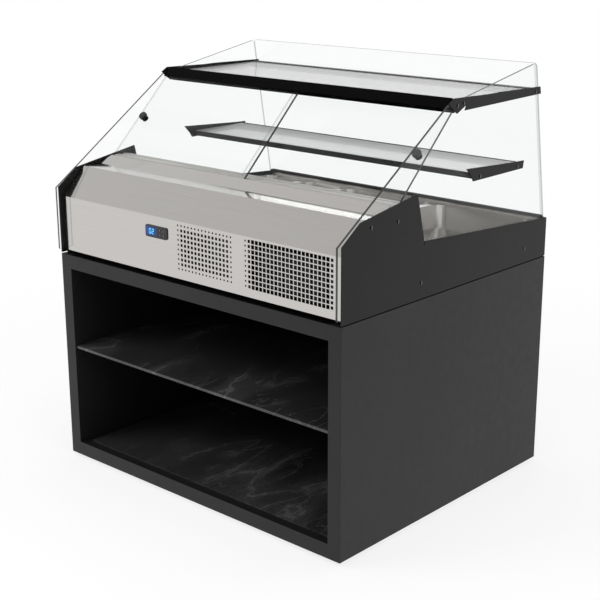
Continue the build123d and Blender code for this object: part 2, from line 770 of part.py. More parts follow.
def stainless_fascia():
    """Folded stainless front: vented face, slope, ledge and the deck up to the doors."""
    height = FASCIA_BEND - FASCIA_BOTTOM
    seam = FASCIA_BEND - FASCIA
    face = Pos(0, (FASCIA_BOTTOM + seam) / 2) * Wire.make_rect(2 * PLATE_OUTER, height - FASCIA)
    cutout = THERMOSTAT_WIDTH - 2 * THERMOSTAT_BORDER, THERMOSTAT_HEIGHT - THERMOSTAT_BORDER
    holes = [square_wire(THERMOSTAT_X, THERMOSTAT_Z, cutout[0] + 2 * CUTOUT_GAP, cutout[1] + 2 * CUTOUT_GAP)]
    holes += vent(LEFT_VENT_X, LEFT_VENT_COLUMNS, left_hole)
    holes += vent(RIGHT_VENT_X, RIGHT_VENT_COLUMNS, right_hole)
    plane = Plane(origin=(0, FASCIA_Y, BASE), x_dir=(1, 0, 0), z_dir=(0, -1, 0))
    panel = extrude(plane * Face(face, holes), amount=FASCIA, dir=(0, 1, 0))
    path = [(FASCIA_Y, seam), *FASCIA_PATH[1:]]
    top = folded(path, -FASCIA, -PLATE_OUTER, PLATE_OUTER)
    hem = module_block(
        (-WELL_HALF, WELL_HALF), (FASCIA_Y, TRAY_FRONT), (FASCIA_BOTTOM, FASCIA_BOTTOM + FASCIA)
    )
    return panel + top + hem


def thermostat_box(border, y_low, y_high, round_corners):
    """Block behind the fascia's cut-out, or the thermostat's bezel."""
    face = Rectangle(THERMOSTAT_WIDTH - 2 * border, THERMOSTAT_HEIGHT - border)
    if round_corners:
        face = RectangleRounded(THERMOSTAT_WIDTH, THERMOSTAT_HEIGHT, round_corners)
    plane = Plane(origin=(THERMOSTAT_X, y_low, BASE + THERMOSTAT_Z), x_dir=(1, 0, 0), z_dir=(0, -1, 0))
    return extrude(plane * face, amount=y_high - y_low, dir=(0, 1, 0))


def bezel_front():
    return FASCIA_Y - THERMOSTAT_PROUD


def key_centres():
    return [(THERMOSTAT_X + x, THERMOSTAT_Z + z) for z in KEY_ROWS for x in KEY_COLUMNS]


def key(x, z, gap, y_low, y_high):
    """Key, or its pocket, about a place on the thermostat."""
    half_width = KEY_WIDTH / 2 + gap
    half_height = KEY_HEIGHT / 2 + gap
    return module_block((x - half_width, x + half_width), (y_low, y_high), (z - half_height, z + half_height))


def display_block(gap, y_low, y_high):
    x = THERMOSTAT_X + DISPLAY_X
    half = DISPLAY_WIDTH / 2 + gap
    low = THERMOSTAT_Z - DISPLAY_HEIGHT / 2 - gap
    return module_block((x - half, x + half), (y_low, y_high), (low, low + DISPLAY_HEIGHT + 2 * gap))


def thermostat_housing():
    """Thermostat case: bezel on the fascia, body behind it, pockets for the display and keys."""
    front = bezel_front()
    bezel = thermostat_box(0, front, FASCIA_Y, THERMOSTAT_ROUND)
    body = thermostat_box(THERMOSTAT_BORDER, FASCIA_Y, FASCIA_Y + THERMOSTAT_DEPTH, 0)
    floor = front - KEY_PROUD + KEY_DEPTH + KEY_TRAVEL + KEY_STOP_GAP
    pockets = [key(x, z, KEY_GAP, front, floor) for x, z in key_centres()]
    return bezel + body - pockets - display_block(KEY_GAP, front, front + DISPLAY_THICK)


def thermostat_display():
    front = bezel_front()
    return display_block(0, front, front + DISPLAY_THICK)


def thermostat_key(place):
    """One sprung key, a little proud of the bezel."""
    x, z = key_centres()[place]
    front = bezel_front() - KEY_PROUD
    shape = key(x, z, 0, front, front + KEY_DEPTH)
    face = shape.faces().sort_by(Axis.Y)[0]
    return fillet(face.edges(), KEY_ROUND)


# Doors and tracks

def door_point(up, out):
    """Depth and height of a point along and out of the left door's outer face."""
    y = DOOR_FOOT[0] + up * math.cos(SLOPE) - out * math.sin(SLOPE)
    z = DOOR_FOOT[1] + up * math.sin(SLOPE) + out * math.cos(SLOPE)
    return y, z


def door_bar(up, out, x):
    """Bar along x whose section is square to the doors."""
    (low, high), (outer, inner) = up, out
    corners = [(low, outer), (high, outer), (high, inner), (low, inner)]
    return outline([door_point(*corner) for corner in corners], *x)


def door_outs(back):
    """Outer and inner faces of a door: the left one in front, the right one behind."""
    outer = -DOOR_PITCH if back else 0
    return outer, outer - GLASS


def door_foot(back):
    """Lower end of a door's glass: both stand at one height."""
    return (DOOR_PITCH / math.tan(SLOPE) if back else 0) - DOOR_ENGAGE


def door_width(back):
    """Ends of a door in x: the doors overlap in the middle."""
    edge = GLASS_INNER - DOOR_INSET
    return (-DOOR_OVERLAP / 2, edge) if back else (-edge, DOOR_OVERLAP / 2)


def knob_plane(back):
    """Plane of a knob: on the outer face of its door, near the case's side."""
    side = 1 if back else -1
    up = KNOB_UP + (RIGHT_KNOB_HIGHER if back else 0)
    y, z = door_point(up, door_outs(back)[0])
    x = side * (GLASS_INNER - DOOR_INSET - KNOB_INSET)
    return Plane(origin=(x, y, BASE + z), x_dir=(1, 0, 0), z_dir=(0, -math.sin(SLOPE), math.cos(SLOPE)))


def on_plane(plane, radius, low, high):
    return plane * Pos(0, 0, (low + high) / 2) * Cylinder(radius, high - low)


def door_glass(back):
    outer, inner = door_outs(back)
    pane = door_bar((door_foot(back), DOOR_TOP), (outer, inner), door_width(back))
    return pane - on_plane(knob_plane(back), KNOB_STUD_RADIUS + KNOB_GAP, -GLASS, 0)


def door_knob(back):
    """Round knob with its stud through the glass, and the nut behind."""
    cap = on_plane(Plane.XY, KNOB_RADIUS, KNOB_COLLAR, KNOB_HEIGHT)
    cap = fillet(cap.edges().filter_by(GeomType.CIRCLE).sort_by(Axis.Z)[-1], KNOB_ROUND)
    stem = on_plane(Plane.XY, KNOB_COLLAR_RADIUS, 0, KNOB_COLLAR)
    stud = on_plane(Plane.XY, KNOB_STUD_RADIUS, -GLASS - KNOB_NUT, 0)
    nut = on_plane(Plane.XY, KNOB_NUT_RADIUS, -GLASS - KNOB_NUT, -GLASS)
    nut -= on_plane(Plane.XY, KNOB_STUD_RADIUS + SCREW_CLEARANCE, -GLASS - KNOB_NUT, -GLASS)
    place = knob_plane(back).location
    return group([place * (cap + stem + stud), place * nut])


def lower_door_track():
    """Lower track with a groove for each door."""
    z_top = DOOR_FOOT[1]
    slope = direction(*FASCIA_PATH[-2:])
    front = door_point(-DOOR_ENGAGE / 2, 0)[0]
    rise = (front - TRACK_FRONT) * slope[1] / slope[0]
    points = [
        (TRACK_FRONT, TRACK_BOTTOM), (TRACK_FRONT, TRACK_FRONT_TOP), (front, TRACK_FRONT_TOP + rise),
        (front, z_top), (TRACK_REAR, z_top), (TRACK_REAR, TRACK_BOTTOM),
    ]
    bar = outline(points, -RAIL_HALF, RAIL_HALF)
    for back in (False, True):
        outer, inner = door_outs(back)
        up = (door_foot(back) - TRACK_SEAT_GAP, DOOR_TOP)
        bar -= door_bar(up, (outer + TRACK_GAP, inner - TRACK_GAP), (-HALF, HALF))
    return bar.solids().sort_by(SortBy.VOLUME)[-1]


def port(place, wall):
    """Screw port along a rail, or its bore."""
    return across(SCREW_RADIUS + SCREW_CLEARANCE + wall, -RAIL_HALF, RAIL_HALF, *place)


def upper_door_track():
    """Black upper rail: channels for both doors, two screw ports and the shelf's front ledge."""
    width = (-RAIL_HALF, RAIL_HALF)
    rear = door_outs(True)[1] - TRACK_GAP
    inner = RAIL_TOP - RAIL_WEB
    rail = door_bar((RAIL_FRONT_LOW, RAIL_TOP), (RAIL_FACE, RAIL_FACE - RAIL_WALL), width)
    rail += door_bar((inner, RAIL_TOP), (RAIL_FACE, rear - RAIL_WALL), width)
    rail += door_bar((RAIL_REAR_LOW, RAIL_TOP), (rear, rear - RAIL_WALL), width)
    divider = (door_outs(False)[1] - TRACK_GAP, door_outs(True)[0] + TRACK_GAP)
    rail += door_bar((RAIL_DIVIDER_LOW, RAIL_TOP), divider, width)
    seat = TOP_SHELF - TOP_SHELF_GLASS
    rail += module_block(width, (TOP_LEDGE_FRONT, TOP_LEDGE_REAR), (seat - SHELF_LEDGE, seat))
    rail += port(PORT_REAR, PORT_WALL)
    return rail - port(PORT_FRONT, 0) - port(PORT_REAR, 0)


# Shelves

def top_shelf_glass():
    return module_block(
        (-RAIL_HALF, RAIL_HALF), (TOP_SHELF_FRONT, REAR_RAIL_STEP - GLASS_GAP),
        (TOP_SHELF - TOP_SHELF_GLASS, TOP_SHELF),
    )


def top_rear_rail():
    """Rail behind the top shelf, with a ledge under the glass and a screw port."""
    seat = TOP_SHELF - TOP_SHELF_GLASS
    points = [
        (REAR_RAIL_FRONT, REAR_RAIL_BOTTOM), (REAR_RAIL_BACK, REAR_RAIL_BOTTOM),
        (REAR_RAIL_BACK, REAR_RAIL_CREST), (REAR_RAIL_STEP, REAR_RAIL_CREST), (REAR_RAIL_STEP, seat),
        (REAR_RAIL_FRONT, seat),
    ]
    return outline(points, -RAIL_HALF, RAIL_HALF) - port(PORT_BACK, 0)


def middle_rail(lip_y, inward, lip_top, place):
    """Rail of the middle shelf: a base under the glass and a lip in front of or behind it."""
    ends = sorted((lip_y, lip_y + inward * MIDDLE_BASE_WIDTH))
    lip = sorted((lip_y, lip_y + inward * MIDDLE_LIP))
    width = (-RAIL_HALF, RAIL_HALF)
    base = module_block(width, ends, (MIDDLE_BASE, MIDDLE_SEAT))
    return base + module_block(width, lip, (MIDDLE_BASE, lip_top)) - port(place, 0)


def shelf_rails():
    front = middle_rail(MIDDLE_FRONT, 1, MIDDLE_FRONT_LIP, MIDDLE_PORT_FRONT)
    rear = middle_rail(MIDDLE_REAR, -1, MIDDLE_REAR_LIP, MIDDLE_PORT_REAR)
    return group([top_rear_rail(), front, rear])


def middle_shelf_glass():
    depth = (MIDDLE_FRONT + MIDDLE_LIP + GLASS_GAP, MIDDLE_REAR - MIDDLE_LIP - GLASS_GAP)
    return module_block((-RAIL_HALF, RAIL_HALF), depth, (MIDDLE_SEAT, MIDDLE_SEAT + MIDDLE_SHELF_GLASS))


def brackets(points, places):
    """Pair of plates on the outside of the side glasses."""
    plate = outline(points, GLASS_OUTER, HALF) - shelf_screws(places, SCREW_CLEARANCE)
    return group(both_sides([plate]))


def top_shelf_brackets():
    return brackets(TOP_BRACKET, (PORT_FRONT, PORT_REAR, PORT_BACK))


def middle_shelf_brackets():
    return brackets(MIDDLE_BRACKET, (MIDDLE_PORT_FRONT, MIDDLE_PORT_REAR))


# Well and pans

def pan_widths():
    """Pans from left to right: two narrow ones, then two wide ones, which fill the tub's width."""
    narrow = (2 * TUB_HALF - 3 * PAN_GAP - 2 * WIDE_PAN_EXTRA) / 6
    wide = 2 * narrow + WIDE_PAN_EXTRA
    return narrow, narrow, wide, wide


def pan_edges():
    """Left and right ends in x of each pan."""
    widths = pan_widths()
    total = sum(widths) + PAN_GAP * (len(widths) - 1)
    left = -total / 2
    edges = []
    for width in widths:
        edges.append((left, left + width))
        left += width + PAN_GAP
    return edges


def pan_shell(width, grow, depth):
    """Tapering inside or outside of a pan, from its rim down."""
    mouth = width - 2 * PAN_RIM + 2 * grow, PAN_LENGTH - 2 * PAN_RIM + 2 * grow
    corner = PAN_CORNER + grow
    top = RectangleRounded(*mouth, corner)
    bottom = Pos(0, 0, -depth) * RectangleRounded(mouth[0] - 2 * PAN_TAPER, mouth[1] - 2 * PAN_TAPER, corner)
    return loft([top, bottom])


def pan(place):
    """Gastronorm pan in the tilted plane of the well."""
    low, high = pan_edges()[place]
    width = high - low
    rim = extrude(RectangleRounded(width, PAN_LENGTH, PAN_RIM_CORNER), -PAN_SHEET)
    shell = rim + pan_shell(width, PAN_SHEET, PAN_DEPTH) - pan_shell(width, 0, PAN_DEPTH - PAN_SHEET)
    return well_plane().location * Pos((low + high) / 2, PAN_LENGTH / 2, 0) * shell


def well_block(x, along_well, out):
    """Box in the tilted plane of the pan rims."""
    return well_plane().location * block(x, along_well, out)


def tub_inside():
    """Half width, front and rear of the inside of the tub."""
    half = TUB_HALF - PAN_RIM + TUB_CLEARANCE
    return half, PAN_RIM - TUB_FRONT_CLEARANCE, PAN_LENGTH - PAN_RIM + TUB_CLEARANCE


def well_tub():
    """Stainless tub with a flange that the pans hang on."""
    half, front, rear = tub_inside()
    depth = (-TUB_FLANGE_FRONT, PAN_LENGTH + TUB_FLANGE_REAR)
    flange = well_block((-TUB_HALF, TUB_HALF), depth, (SEAT - TUB_SHEET, SEAT))
    outer = well_block(
        (-half - TUB_SHEET, half + TUB_SHEET), (front - TUB_SHEET, rear + TUB_SHEET),
        (TUB_BOTTOM - TUB_SHEET, SEAT - TUB_SHEET),
    )
    return flange + outer - well_block((-half, half), (front, rear), (TUB_BOTTOM, SEAT))


def pan_support_bars():
    """Bars in the tub under the rims of neighbouring pans."""
    front, rear = tub_inside()[1:]
    bars = []
    for (_, edge), _ in zip(pan_edges(), pan_edges()[1:]):
        middle = edge + PAN_GAP / 2
        width = (middle - BAR_WIDTH / 2, middle + BAR_WIDTH / 2)
        bars.append(well_block(width, (front + PAN_SEAT_GAP, rear - PAN_SEAT_GAP), (SEAT - BAR_DEPTH, SEAT)))
    return group(bars)


def bulkhead():
    """Folded wall between the machine compartment and the insulation."""
    path = [(BULKHEAD_Y, TRAY), (BULKHEAD_Y, TRACK_BOTTOM), (TRACK_REAR - FOAM_GAP, TRACK_BOTTOM)]
    sheet = folded(path, -BULKHEAD, -WELL_HALF, WELL_HALF)
    radius = PIPE_RADIUS + STUD_CLEARANCE
    return sheet - [pipe_pass(x, radius) for x in (DRIER_X, SUCTION_X)]


def front_inner_panel():
    """Sloping stainless panel between the lower track and the pans."""
    return folded(inner_panel_line(), INNER_PANEL, -RAIL_HALF, RAIL_HALF)


def pipe_out():
    """Level of the evaporator pipe, just under the tub."""
    return TUB_BOTTOM - TUB_SHEET - PIPE_GAP - PIPE_RADIUS


def pipe_pass(x, radius):
    """Hole for the pipe through the bulkhead, in the tilted plane of the well."""
    reach = (BULKHEAD_Y - PAN_FRONT - PAN_RIM, BULKHEAD_Y - PAN_FRONT + PAN_RIM)
    shape = Pos(x, sum(reach) / 2, pipe_out()) * Rot(90, 0, 0) * Cylinder(radius, reach[1] - reach[0])
    return well_plane().location * shape


def foam_insulation():
    """Foam under the tub and in front of it, with room for the evaporator pipe between."""
    front = BULKHEAD_Y + BULKHEAD
    under = pipe_out() - PIPE_RADIUS - PIPE_GAP
    over = pipe_out() + PIPE_RADIUS + PIPE_GAP
    wall = PAN_FRONT + (tub_inside()[1] - TUB_SHEET) * math.cos(TILT) + TUB_BOTTOM * math.sin(TILT) - FOAM_GAP
    shoulder = well_height(PAN_FRONT - PAN_RIM, SEAT - PAN_RIM)
    slab = [
        (front, TRAY), (FOAM_REAR, TRAY), (FOAM_REAR, well_height(FOAM_REAR, under)),
        (front, well_height(front, under)),
    ]
    nose = [
        (front, well_height(front, over)), (front, FOAM_FRONT_TOP),
        (front + FOAM_FRONT_WIDTH, FOAM_FRONT_TOP), (PAN_FRONT - PAN_RIM, shoulder),
        (wall, shoulder), (wall, well_height(wall, over)),
    ]
    width = (-WELL_HALF + FOAM_GAP, WELL_HALF - FOAM_GAP)
    return group([outline(slab, *width), outline(nose, *width)])


# Refrigeration

def bent_pipe(points):
    """Pipe along straight runs joined by round bends."""
    path = FilletPolyline(*points, radius=PIPE_BEND)
    section = Plane(origin=path @ 0, z_dir=path % 0) * Circle(PIPE_RADIUS)
    return sweep(section, path=path)


def under_tub(x, distance):
    """Point on the evaporator pipe's level."""
    at = well_plane().from_local_coords(Vector(x, distance, pipe_out()))
    return at.X, at.Y, at.Z


def evaporator_pipe():
    """Supply from the drier, runs under the tub and the return to the compressor."""
    top = BASE + DRIER_LOW + DRIER_HEIGHT
    rise = top + 2 * PIPE_BEND
    front = BULKHEAD_Y - PAN_FRONT - PAN_RIM
    last = PIPE_FIRST_RUN + 3 * PIPE_PITCH
    start = under_tub(DRIER_X, front)
    points = [(DRIER_X, DRIER_Y, top), (DRIER_X, DRIER_Y, rise), (DRIER_X, start[1], rise), start]
    for right, distance in ((DRIER_X, last), (PIPE_TURN_X, last - 2 * PIPE_PITCH)):
        points += [under_tub(right, distance), under_tub(PIPE_LEFT_X, distance)]
        back = distance - PIPE_PITCH
        points += [under_tub(PIPE_LEFT_X, back)]
        points += [under_tub(PIPE_TURN_X if right == DRIER_X else SUCTION_X, back)]
    points.append(under_tub(SUCTION_X, front))
    level = BASE + SUCTION_HEIGHT
    points += [(SUCTION_X, COMPRESSOR_Y, level), (COMPRESSOR_X - COMPRESSOR_RADIUS, COMPRESSOR_Y, level)]
    return bent_pipe(points)


def coil_middle():
    return COIL_LEFT + COIL_WIDTH / 2, COIL_Y + COIL_DEPTH / 2, TRAY + COIL_HEIGHT / 2


def discharge_pipe():
    y = coil_middle()[1]
    z = BASE + DISCHARGE_HEIGHT
    start = (COMPRESSOR_X + COMPRESSOR_RADIUS, COMPRESSOR_Y, z)
    return bent_pipe([start, (DRIER_X, COMPRESSOR_Y, z), (DRIER_X, y, z), (COIL_LEFT, y, z)])


def liquid_pipe():
    y = coil_middle()[1]
    z = BASE + LIQUID_HEIGHT
    drier = BASE + DRIER_LOW
    return bent_pipe([(COIL_LEFT, y, z), (DRIER_X, y, z), (DRIER_X, DRIER_Y, z), (DRIER_X, DRIER_Y, drier)])


def refrigerant_pipes():
    return group([discharge_pipe(), liquid_pipe(), evaporator_pipe()])


def compressor():
    """Hermetic compressor: a domed can on a mounting plate."""
    low = BASE + TRAY + GROMMET_HEIGHT
    height = (low + COMPRESSOR_PLATE, low + COMPRESSOR_HEIGHT)
    can = upright(COMPRESSOR_RADIUS, COMPRESSOR_X, COMPRESSOR_Y, *height)
    can = fillet(can.edges().filter_by(GeomType.CIRCLE).sort_by(Axis.Z)[-1], COMPRESSOR_DOME)
    half_x = COMPRESSOR_FEET_X + GROMMET_RADIUS
    half_y = COMPRESSOR_FEET_Y + GROMMET_RADIUS
    plate = block(
        (COMPRESSOR_X - half_x, COMPRESSOR_X + half_x), (COMPRESSOR_Y - half_y, COMPRESSOR_Y + half_y),
        (low, low + COMPRESSOR_PLATE),
    )
    return can + plate


def compressor_grommets():
    low = BASE + TRAY
    grommets = []
    for x in (COMPRESSOR_X - COMPRESSOR_FEET_X, COMPRESSOR_X + COMPRESSOR_FEET_X):
        for y in (COMPRESSOR_Y - COMPRESSOR_FEET_Y, COMPRESSOR_Y + COMPRESSOR_FEET_Y):
            grommets.append(upright(GROMMET_RADIUS, x, y, low, low + GROMMET_HEIGHT))
    return group(grommets)


def condenser_coil():
    """Finned coil behind the right vent."""
    pitch = (COIL_WIDTH - COIL_END) / (FINS - 1)
    depth = (COIL_Y, COIL_Y + COIL_DEPTH)
    height = (TRAY, TRAY + COIL_HEIGHT)
    fins = []
    for number in range(FINS):
        thick = COIL_END if number in (0, FINS - 1) else FIN
        left = COIL_LEFT + number * pitch + (COIL_END - thick) / 2
        fins.append(module_block((left, left + thick), depth, height))
    tubes = []
    for row in range(COIL_TUBE_ROWS):
        z = TRAY + (row + 0.5) * COIL_HEIGHT / COIL_TUBE_ROWS
        for y in (COIL_Y + COIL_DEPTH / 4, COIL_Y + COIL_DEPTH * 3 / 4):
            tubes.append(across(COIL_TUBE_RADIUS, COIL_LEFT, COIL_LEFT + COIL_WIDTH, y, z))
    return fins[0].fuse(*fins[1:], *tubes)


def fan_shroud():
    """Plate, ring and side flanges that guide the air from the coil to the fan."""
    x, _, z = coil_middle()
    rear = COIL_Y + COIL_DEPTH
    plate_y = rear + FAN_GAP
    height = (TRAY, TRAY + COIL_HEIGHT)
    plate = module_block((COIL_LEFT, COIL_LEFT + COIL_WIDTH), (plate_y, plate_y + SHROUD), height)
    right = COIL_LEFT + COIL_WIDTH
    flanges = [
        module_block((COIL_LEFT, COIL_LEFT + SHROUD), (rear, plate_y), height),
        module_block((right - SHROUD, right), (rear, plate_y), height),
    ]
    ring = along(SHROUD_HOLE + SHROUD, x, z, plate_y, plate_y + SHROUD_RING)
    return plate + flanges + ring - along(SHROUD_HOLE, x, z, plate_y, plate_y + SHROUD_RING)


def fan_front():
    return COIL_Y + COIL_DEPTH + 2 * FAN_GAP


def condenser_fan():
    """Fan with twisted blades on its own shaft."""
    x, _, z = coil_middle()
    front = fan_front()
    hub = along(FAN_HUB, x, z, front, front + FAN_DEPTH)
    blade = Pos((FAN_HUB / 2 + FAN_RADIUS) / 2, 0, 0) * Rot(FAN_PITCH, 0, 0) * Box(
        FAN_RADIUS - FAN_HUB / 2, FAN_DEPTH, FAN_BLADE
    )
    place = Pos(x, front + FAN_DEPTH / 2, BASE + z)
    blades = [place * Rot(0, number * 360 / FAN_BLADES, 0) * blade for number in range(FAN_BLADES)]
    return hub + blades + along(SHAFT_RADIUS, x, z, front + FAN_DEPTH, front + FAN_DEPTH + SHAFT_LENGTH)


def fan_motor():
    """Fan motor on a strap that stands off the shroud."""
    x, _, z = coil_middle()
    front = fan_front() + FAN_DEPTH + FAN_GAP
    rear = front + MOTOR_LENGTH
    plate_y = COIL_Y + COIL_DEPTH + FAN_GAP + SHROUD
    motor = along(MOTOR_RADIUS, x, z, front, rear)
    motor -= along(SHAFT_RADIUS + BEARING_GAP, x, z, front, front + SHAFT_LENGTH - FAN_GAP + FIN)
    height = (z - MOTOR_STRAP / 2, z + MOTOR_STRAP / 2)
    reach = MOTOR_STRAP_REACH
    strap = module_block((x - reach, x + reach), (rear, rear + MOTOR_STRAP_THICK), height)
    for side in (-1, 1):
        ends = sorted((x + side * reach, x + side * (reach - MOTOR_STRAP_THICK)))
        strap += module_block(ends, (plate_y, rear), height)
    return group([motor, strap])


def filter_drier():
    low = BASE + DRIER_LOW
    body = upright(DRIER_RADIUS, DRIER_X, DRIER_Y, low, low + DRIER_HEIGHT)
    return fillet(body.edges().filter_by(GeomType.CIRCLE), DRIER_RADIUS / 2)


def control_box():
    x = (CONTROL_BOX_LEFT, CONTROL_BOX_LEFT + CONTROL_BOX_WIDTH)
    box = module_block(x, CONTROL_BOX_Y, (TRAY, CONTROL_BOX_TOP))
    return fillet(box.edges().filter_by(Axis.Z), CONTROL_BOX_ROUND)


def temperature_probe():
    """Sensor clipped under the tub."""
    x = (PIPE_TURN_X + DRIER_X) / 2
    out = TUB_BOTTOM - TUB_SHEET - PIPE_GAP - PROBE_RADIUS
    probe = Pos(x, PIPE_FIRST_RUN, out) * Rot(90, 0, 0) * Cylinder(PROBE_RADIUS, PROBE_LENGTH)
    return well_plane().location * probe


NODES = {
    "left_side_board": lambda: other_side(right_side_board()),
    "right_side_board": right_side_board,
    "top_board": top_board,
    "bottom_board": bottom_board,
    "back_board": back_board,
    "cabinet_dowels": cabinet_dowels,
    "stone_deck": stone_deck,
    "stone_shelf": stone_shelf,
    "shelf_pins": shelf_pins,
    "levelling_feet": levelling_feet,
    "floor_tray": floor_tray,
    "module_bolts": module_bolts,
    "inner_side_plates": lambda: group(both_sides([inner_plate()])),
    "left_side_panel": lambda: other_side(side_panel()),
    "right_side_panel": side_panel,
    "countersunk_screws": countersunk_screws,
    "left_side_glass": lambda: other_side(side_glass()),
    "right_side_glass": side_glass,
    "glass_setting_blocks": glass_setting_blocks,
    "rear_panel": rear_panel,
    "rear_glass_rail": rear_glass_rail,
    "rear_glass": rear_glass,
    "cable_gland": cable_gland,
    "stainless_fascia": stainless_fascia,
    "bulkhead": bulkhead,
    "lower_door_track": lower_door_track,
    "front_inner_panel": front_inner_panel,
    "foam_insulation": foam_insulation,
    "well_tub": well_tub,
    "pan_support_bars": pan_support_bars,
    "narrow_pan_left": lambda: pan(0),
    "narrow_pan_right": lambda: pan(1),
    "wide_pan_left": lambda: pan(2),
    "wide_pan_right": lambda: pan(3),
    "upper_door_track": upper_door_track,
    "top_shelf_glass": top_shelf_glass,
    "shelf_rails": shelf_rails,
    "top_shelf_brackets": top_shelf_brackets,
    "middle_shelf_glass": middle_shelf_glass,
    "middle_shelf_brackets": middle_shelf_brackets,
    "left_door_glass": lambda: door_glass(False),
    "left_door_knob": lambda: door_knob(False),
    "right_door_glass": lambda: door_glass(True),
    "right_door_knob": lambda: door_knob(True),
    "thermostat_housing": thermostat_housing,
    "thermostat_display": thermostat_display,
    "key_light": lambda: thermostat_key(0),
    "key_power": lambda: thermostat_key(1),
    "key_down": lambda: thermostat_key(2),
    "key_up": lambda: thermostat_key(3),
    "compressor": compressor,
    "compressor_grommets": compressor_grommets,
    "condenser_coil": condenser_coil,
    "fan_shroud": fan_shroud,
    "condenser_fan": condenser_fan,
    "fan_motor": fan_motor,
    "filter_drier": filter_drier,
    "refrigerant_pipes": refrigerant_pipes,
    "control_box": control_box,
    "temperature_probe": temperature_probe,
}

os.makedirs("parts", exist_ok=True)
for name, make in NODES.items():
    export_step(Pos(0, -MIDDLE_DEPTH, 0) * make(), f"parts/{name}.step")
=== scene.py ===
import math

import bmesh
import bpy
from mathutils import Matrix, Vector


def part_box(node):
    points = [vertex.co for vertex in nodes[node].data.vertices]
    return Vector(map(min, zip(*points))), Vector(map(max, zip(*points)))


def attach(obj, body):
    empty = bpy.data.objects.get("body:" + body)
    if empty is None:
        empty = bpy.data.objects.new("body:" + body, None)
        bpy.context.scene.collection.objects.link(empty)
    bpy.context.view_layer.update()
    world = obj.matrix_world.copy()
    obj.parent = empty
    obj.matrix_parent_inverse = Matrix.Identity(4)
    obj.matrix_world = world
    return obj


# The finish, small details, light and camera of the display case. Lengths are in metres.

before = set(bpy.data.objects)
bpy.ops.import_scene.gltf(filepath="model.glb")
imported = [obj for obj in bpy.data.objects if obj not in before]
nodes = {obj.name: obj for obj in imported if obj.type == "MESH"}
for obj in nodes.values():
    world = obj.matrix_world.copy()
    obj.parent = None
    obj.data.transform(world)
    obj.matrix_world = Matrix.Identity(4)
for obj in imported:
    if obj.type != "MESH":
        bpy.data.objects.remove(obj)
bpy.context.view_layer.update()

# Camera, fitted to the photograph's perspective
CAMERA_PLACE = (2.2599, -2.4899, 1.4742)
CAMERA_FORWARD = (-0.64403, 0.70912, -0.28702)
CAMERA_ROLL = -0.16
CAMERA_LENS = 77.15
CAMERA_SENSOR = 36.0

# Light
ROOM_LIGHT = 0.40
SKY_HORIZON = 1.0
SKY_TOP = 0.70
SKY_FADE = (0.1, 0.8)
# Softbox behind the case, seen only in mirrored light: its edges by x over y and by height
SOFTBOX_LEFT = (-0.985, -0.972)
SOFTBOX_RIGHT = (-0.50, -0.46)
SOFTBOX_LOW = (0.165, 0.185)
SOFTBOX_HIGH = (0.27, 0.30)
SOFTBOX_LIGHT = 1.5
FLOOR_RADIUS = 9.0
FLOOR_WHITE = 0.9
FLOOR_GLOW = 0.80
FLOOR_NEAR = 0.9
FLOOR_FAR = 2.2
LAMPS = {
    "key_lamp": ((-2.2, -3.0, 3.0), 2.2, 95.0),
    "fill_lamp": ((3.4, -1.2, 2.0), 2.0, 45.0),
    "top_lamp": ((0.2, 0.4, 3.6), 2.4, 60.0),
}
LAMP_AIM = (0.0, 0.0, 0.6)

# Glass: share mirrored face on, and how much an edge covers when it is seen from inside the pane
FACE_ON_SHINE = 0.010
EDGE_COVER_INSIDE = 0.22
CLEAR_BOUNCES = 32

# Zone of the fascia's vent holes: back of its front sheet, and lowest and highest hole
FASCIA_BACK = -0.4027
VENT_FOOT = 0.622
VENT_TOP = 0.7475


def set_range(node, *numbers):
    """Sets the two ranges of a node: the lowest and highest value in, and then out."""
    for socket, number in zip(("From Min", "From Max", "To Min", "To Max"), numbers):
        node.inputs[socket].default_value = number


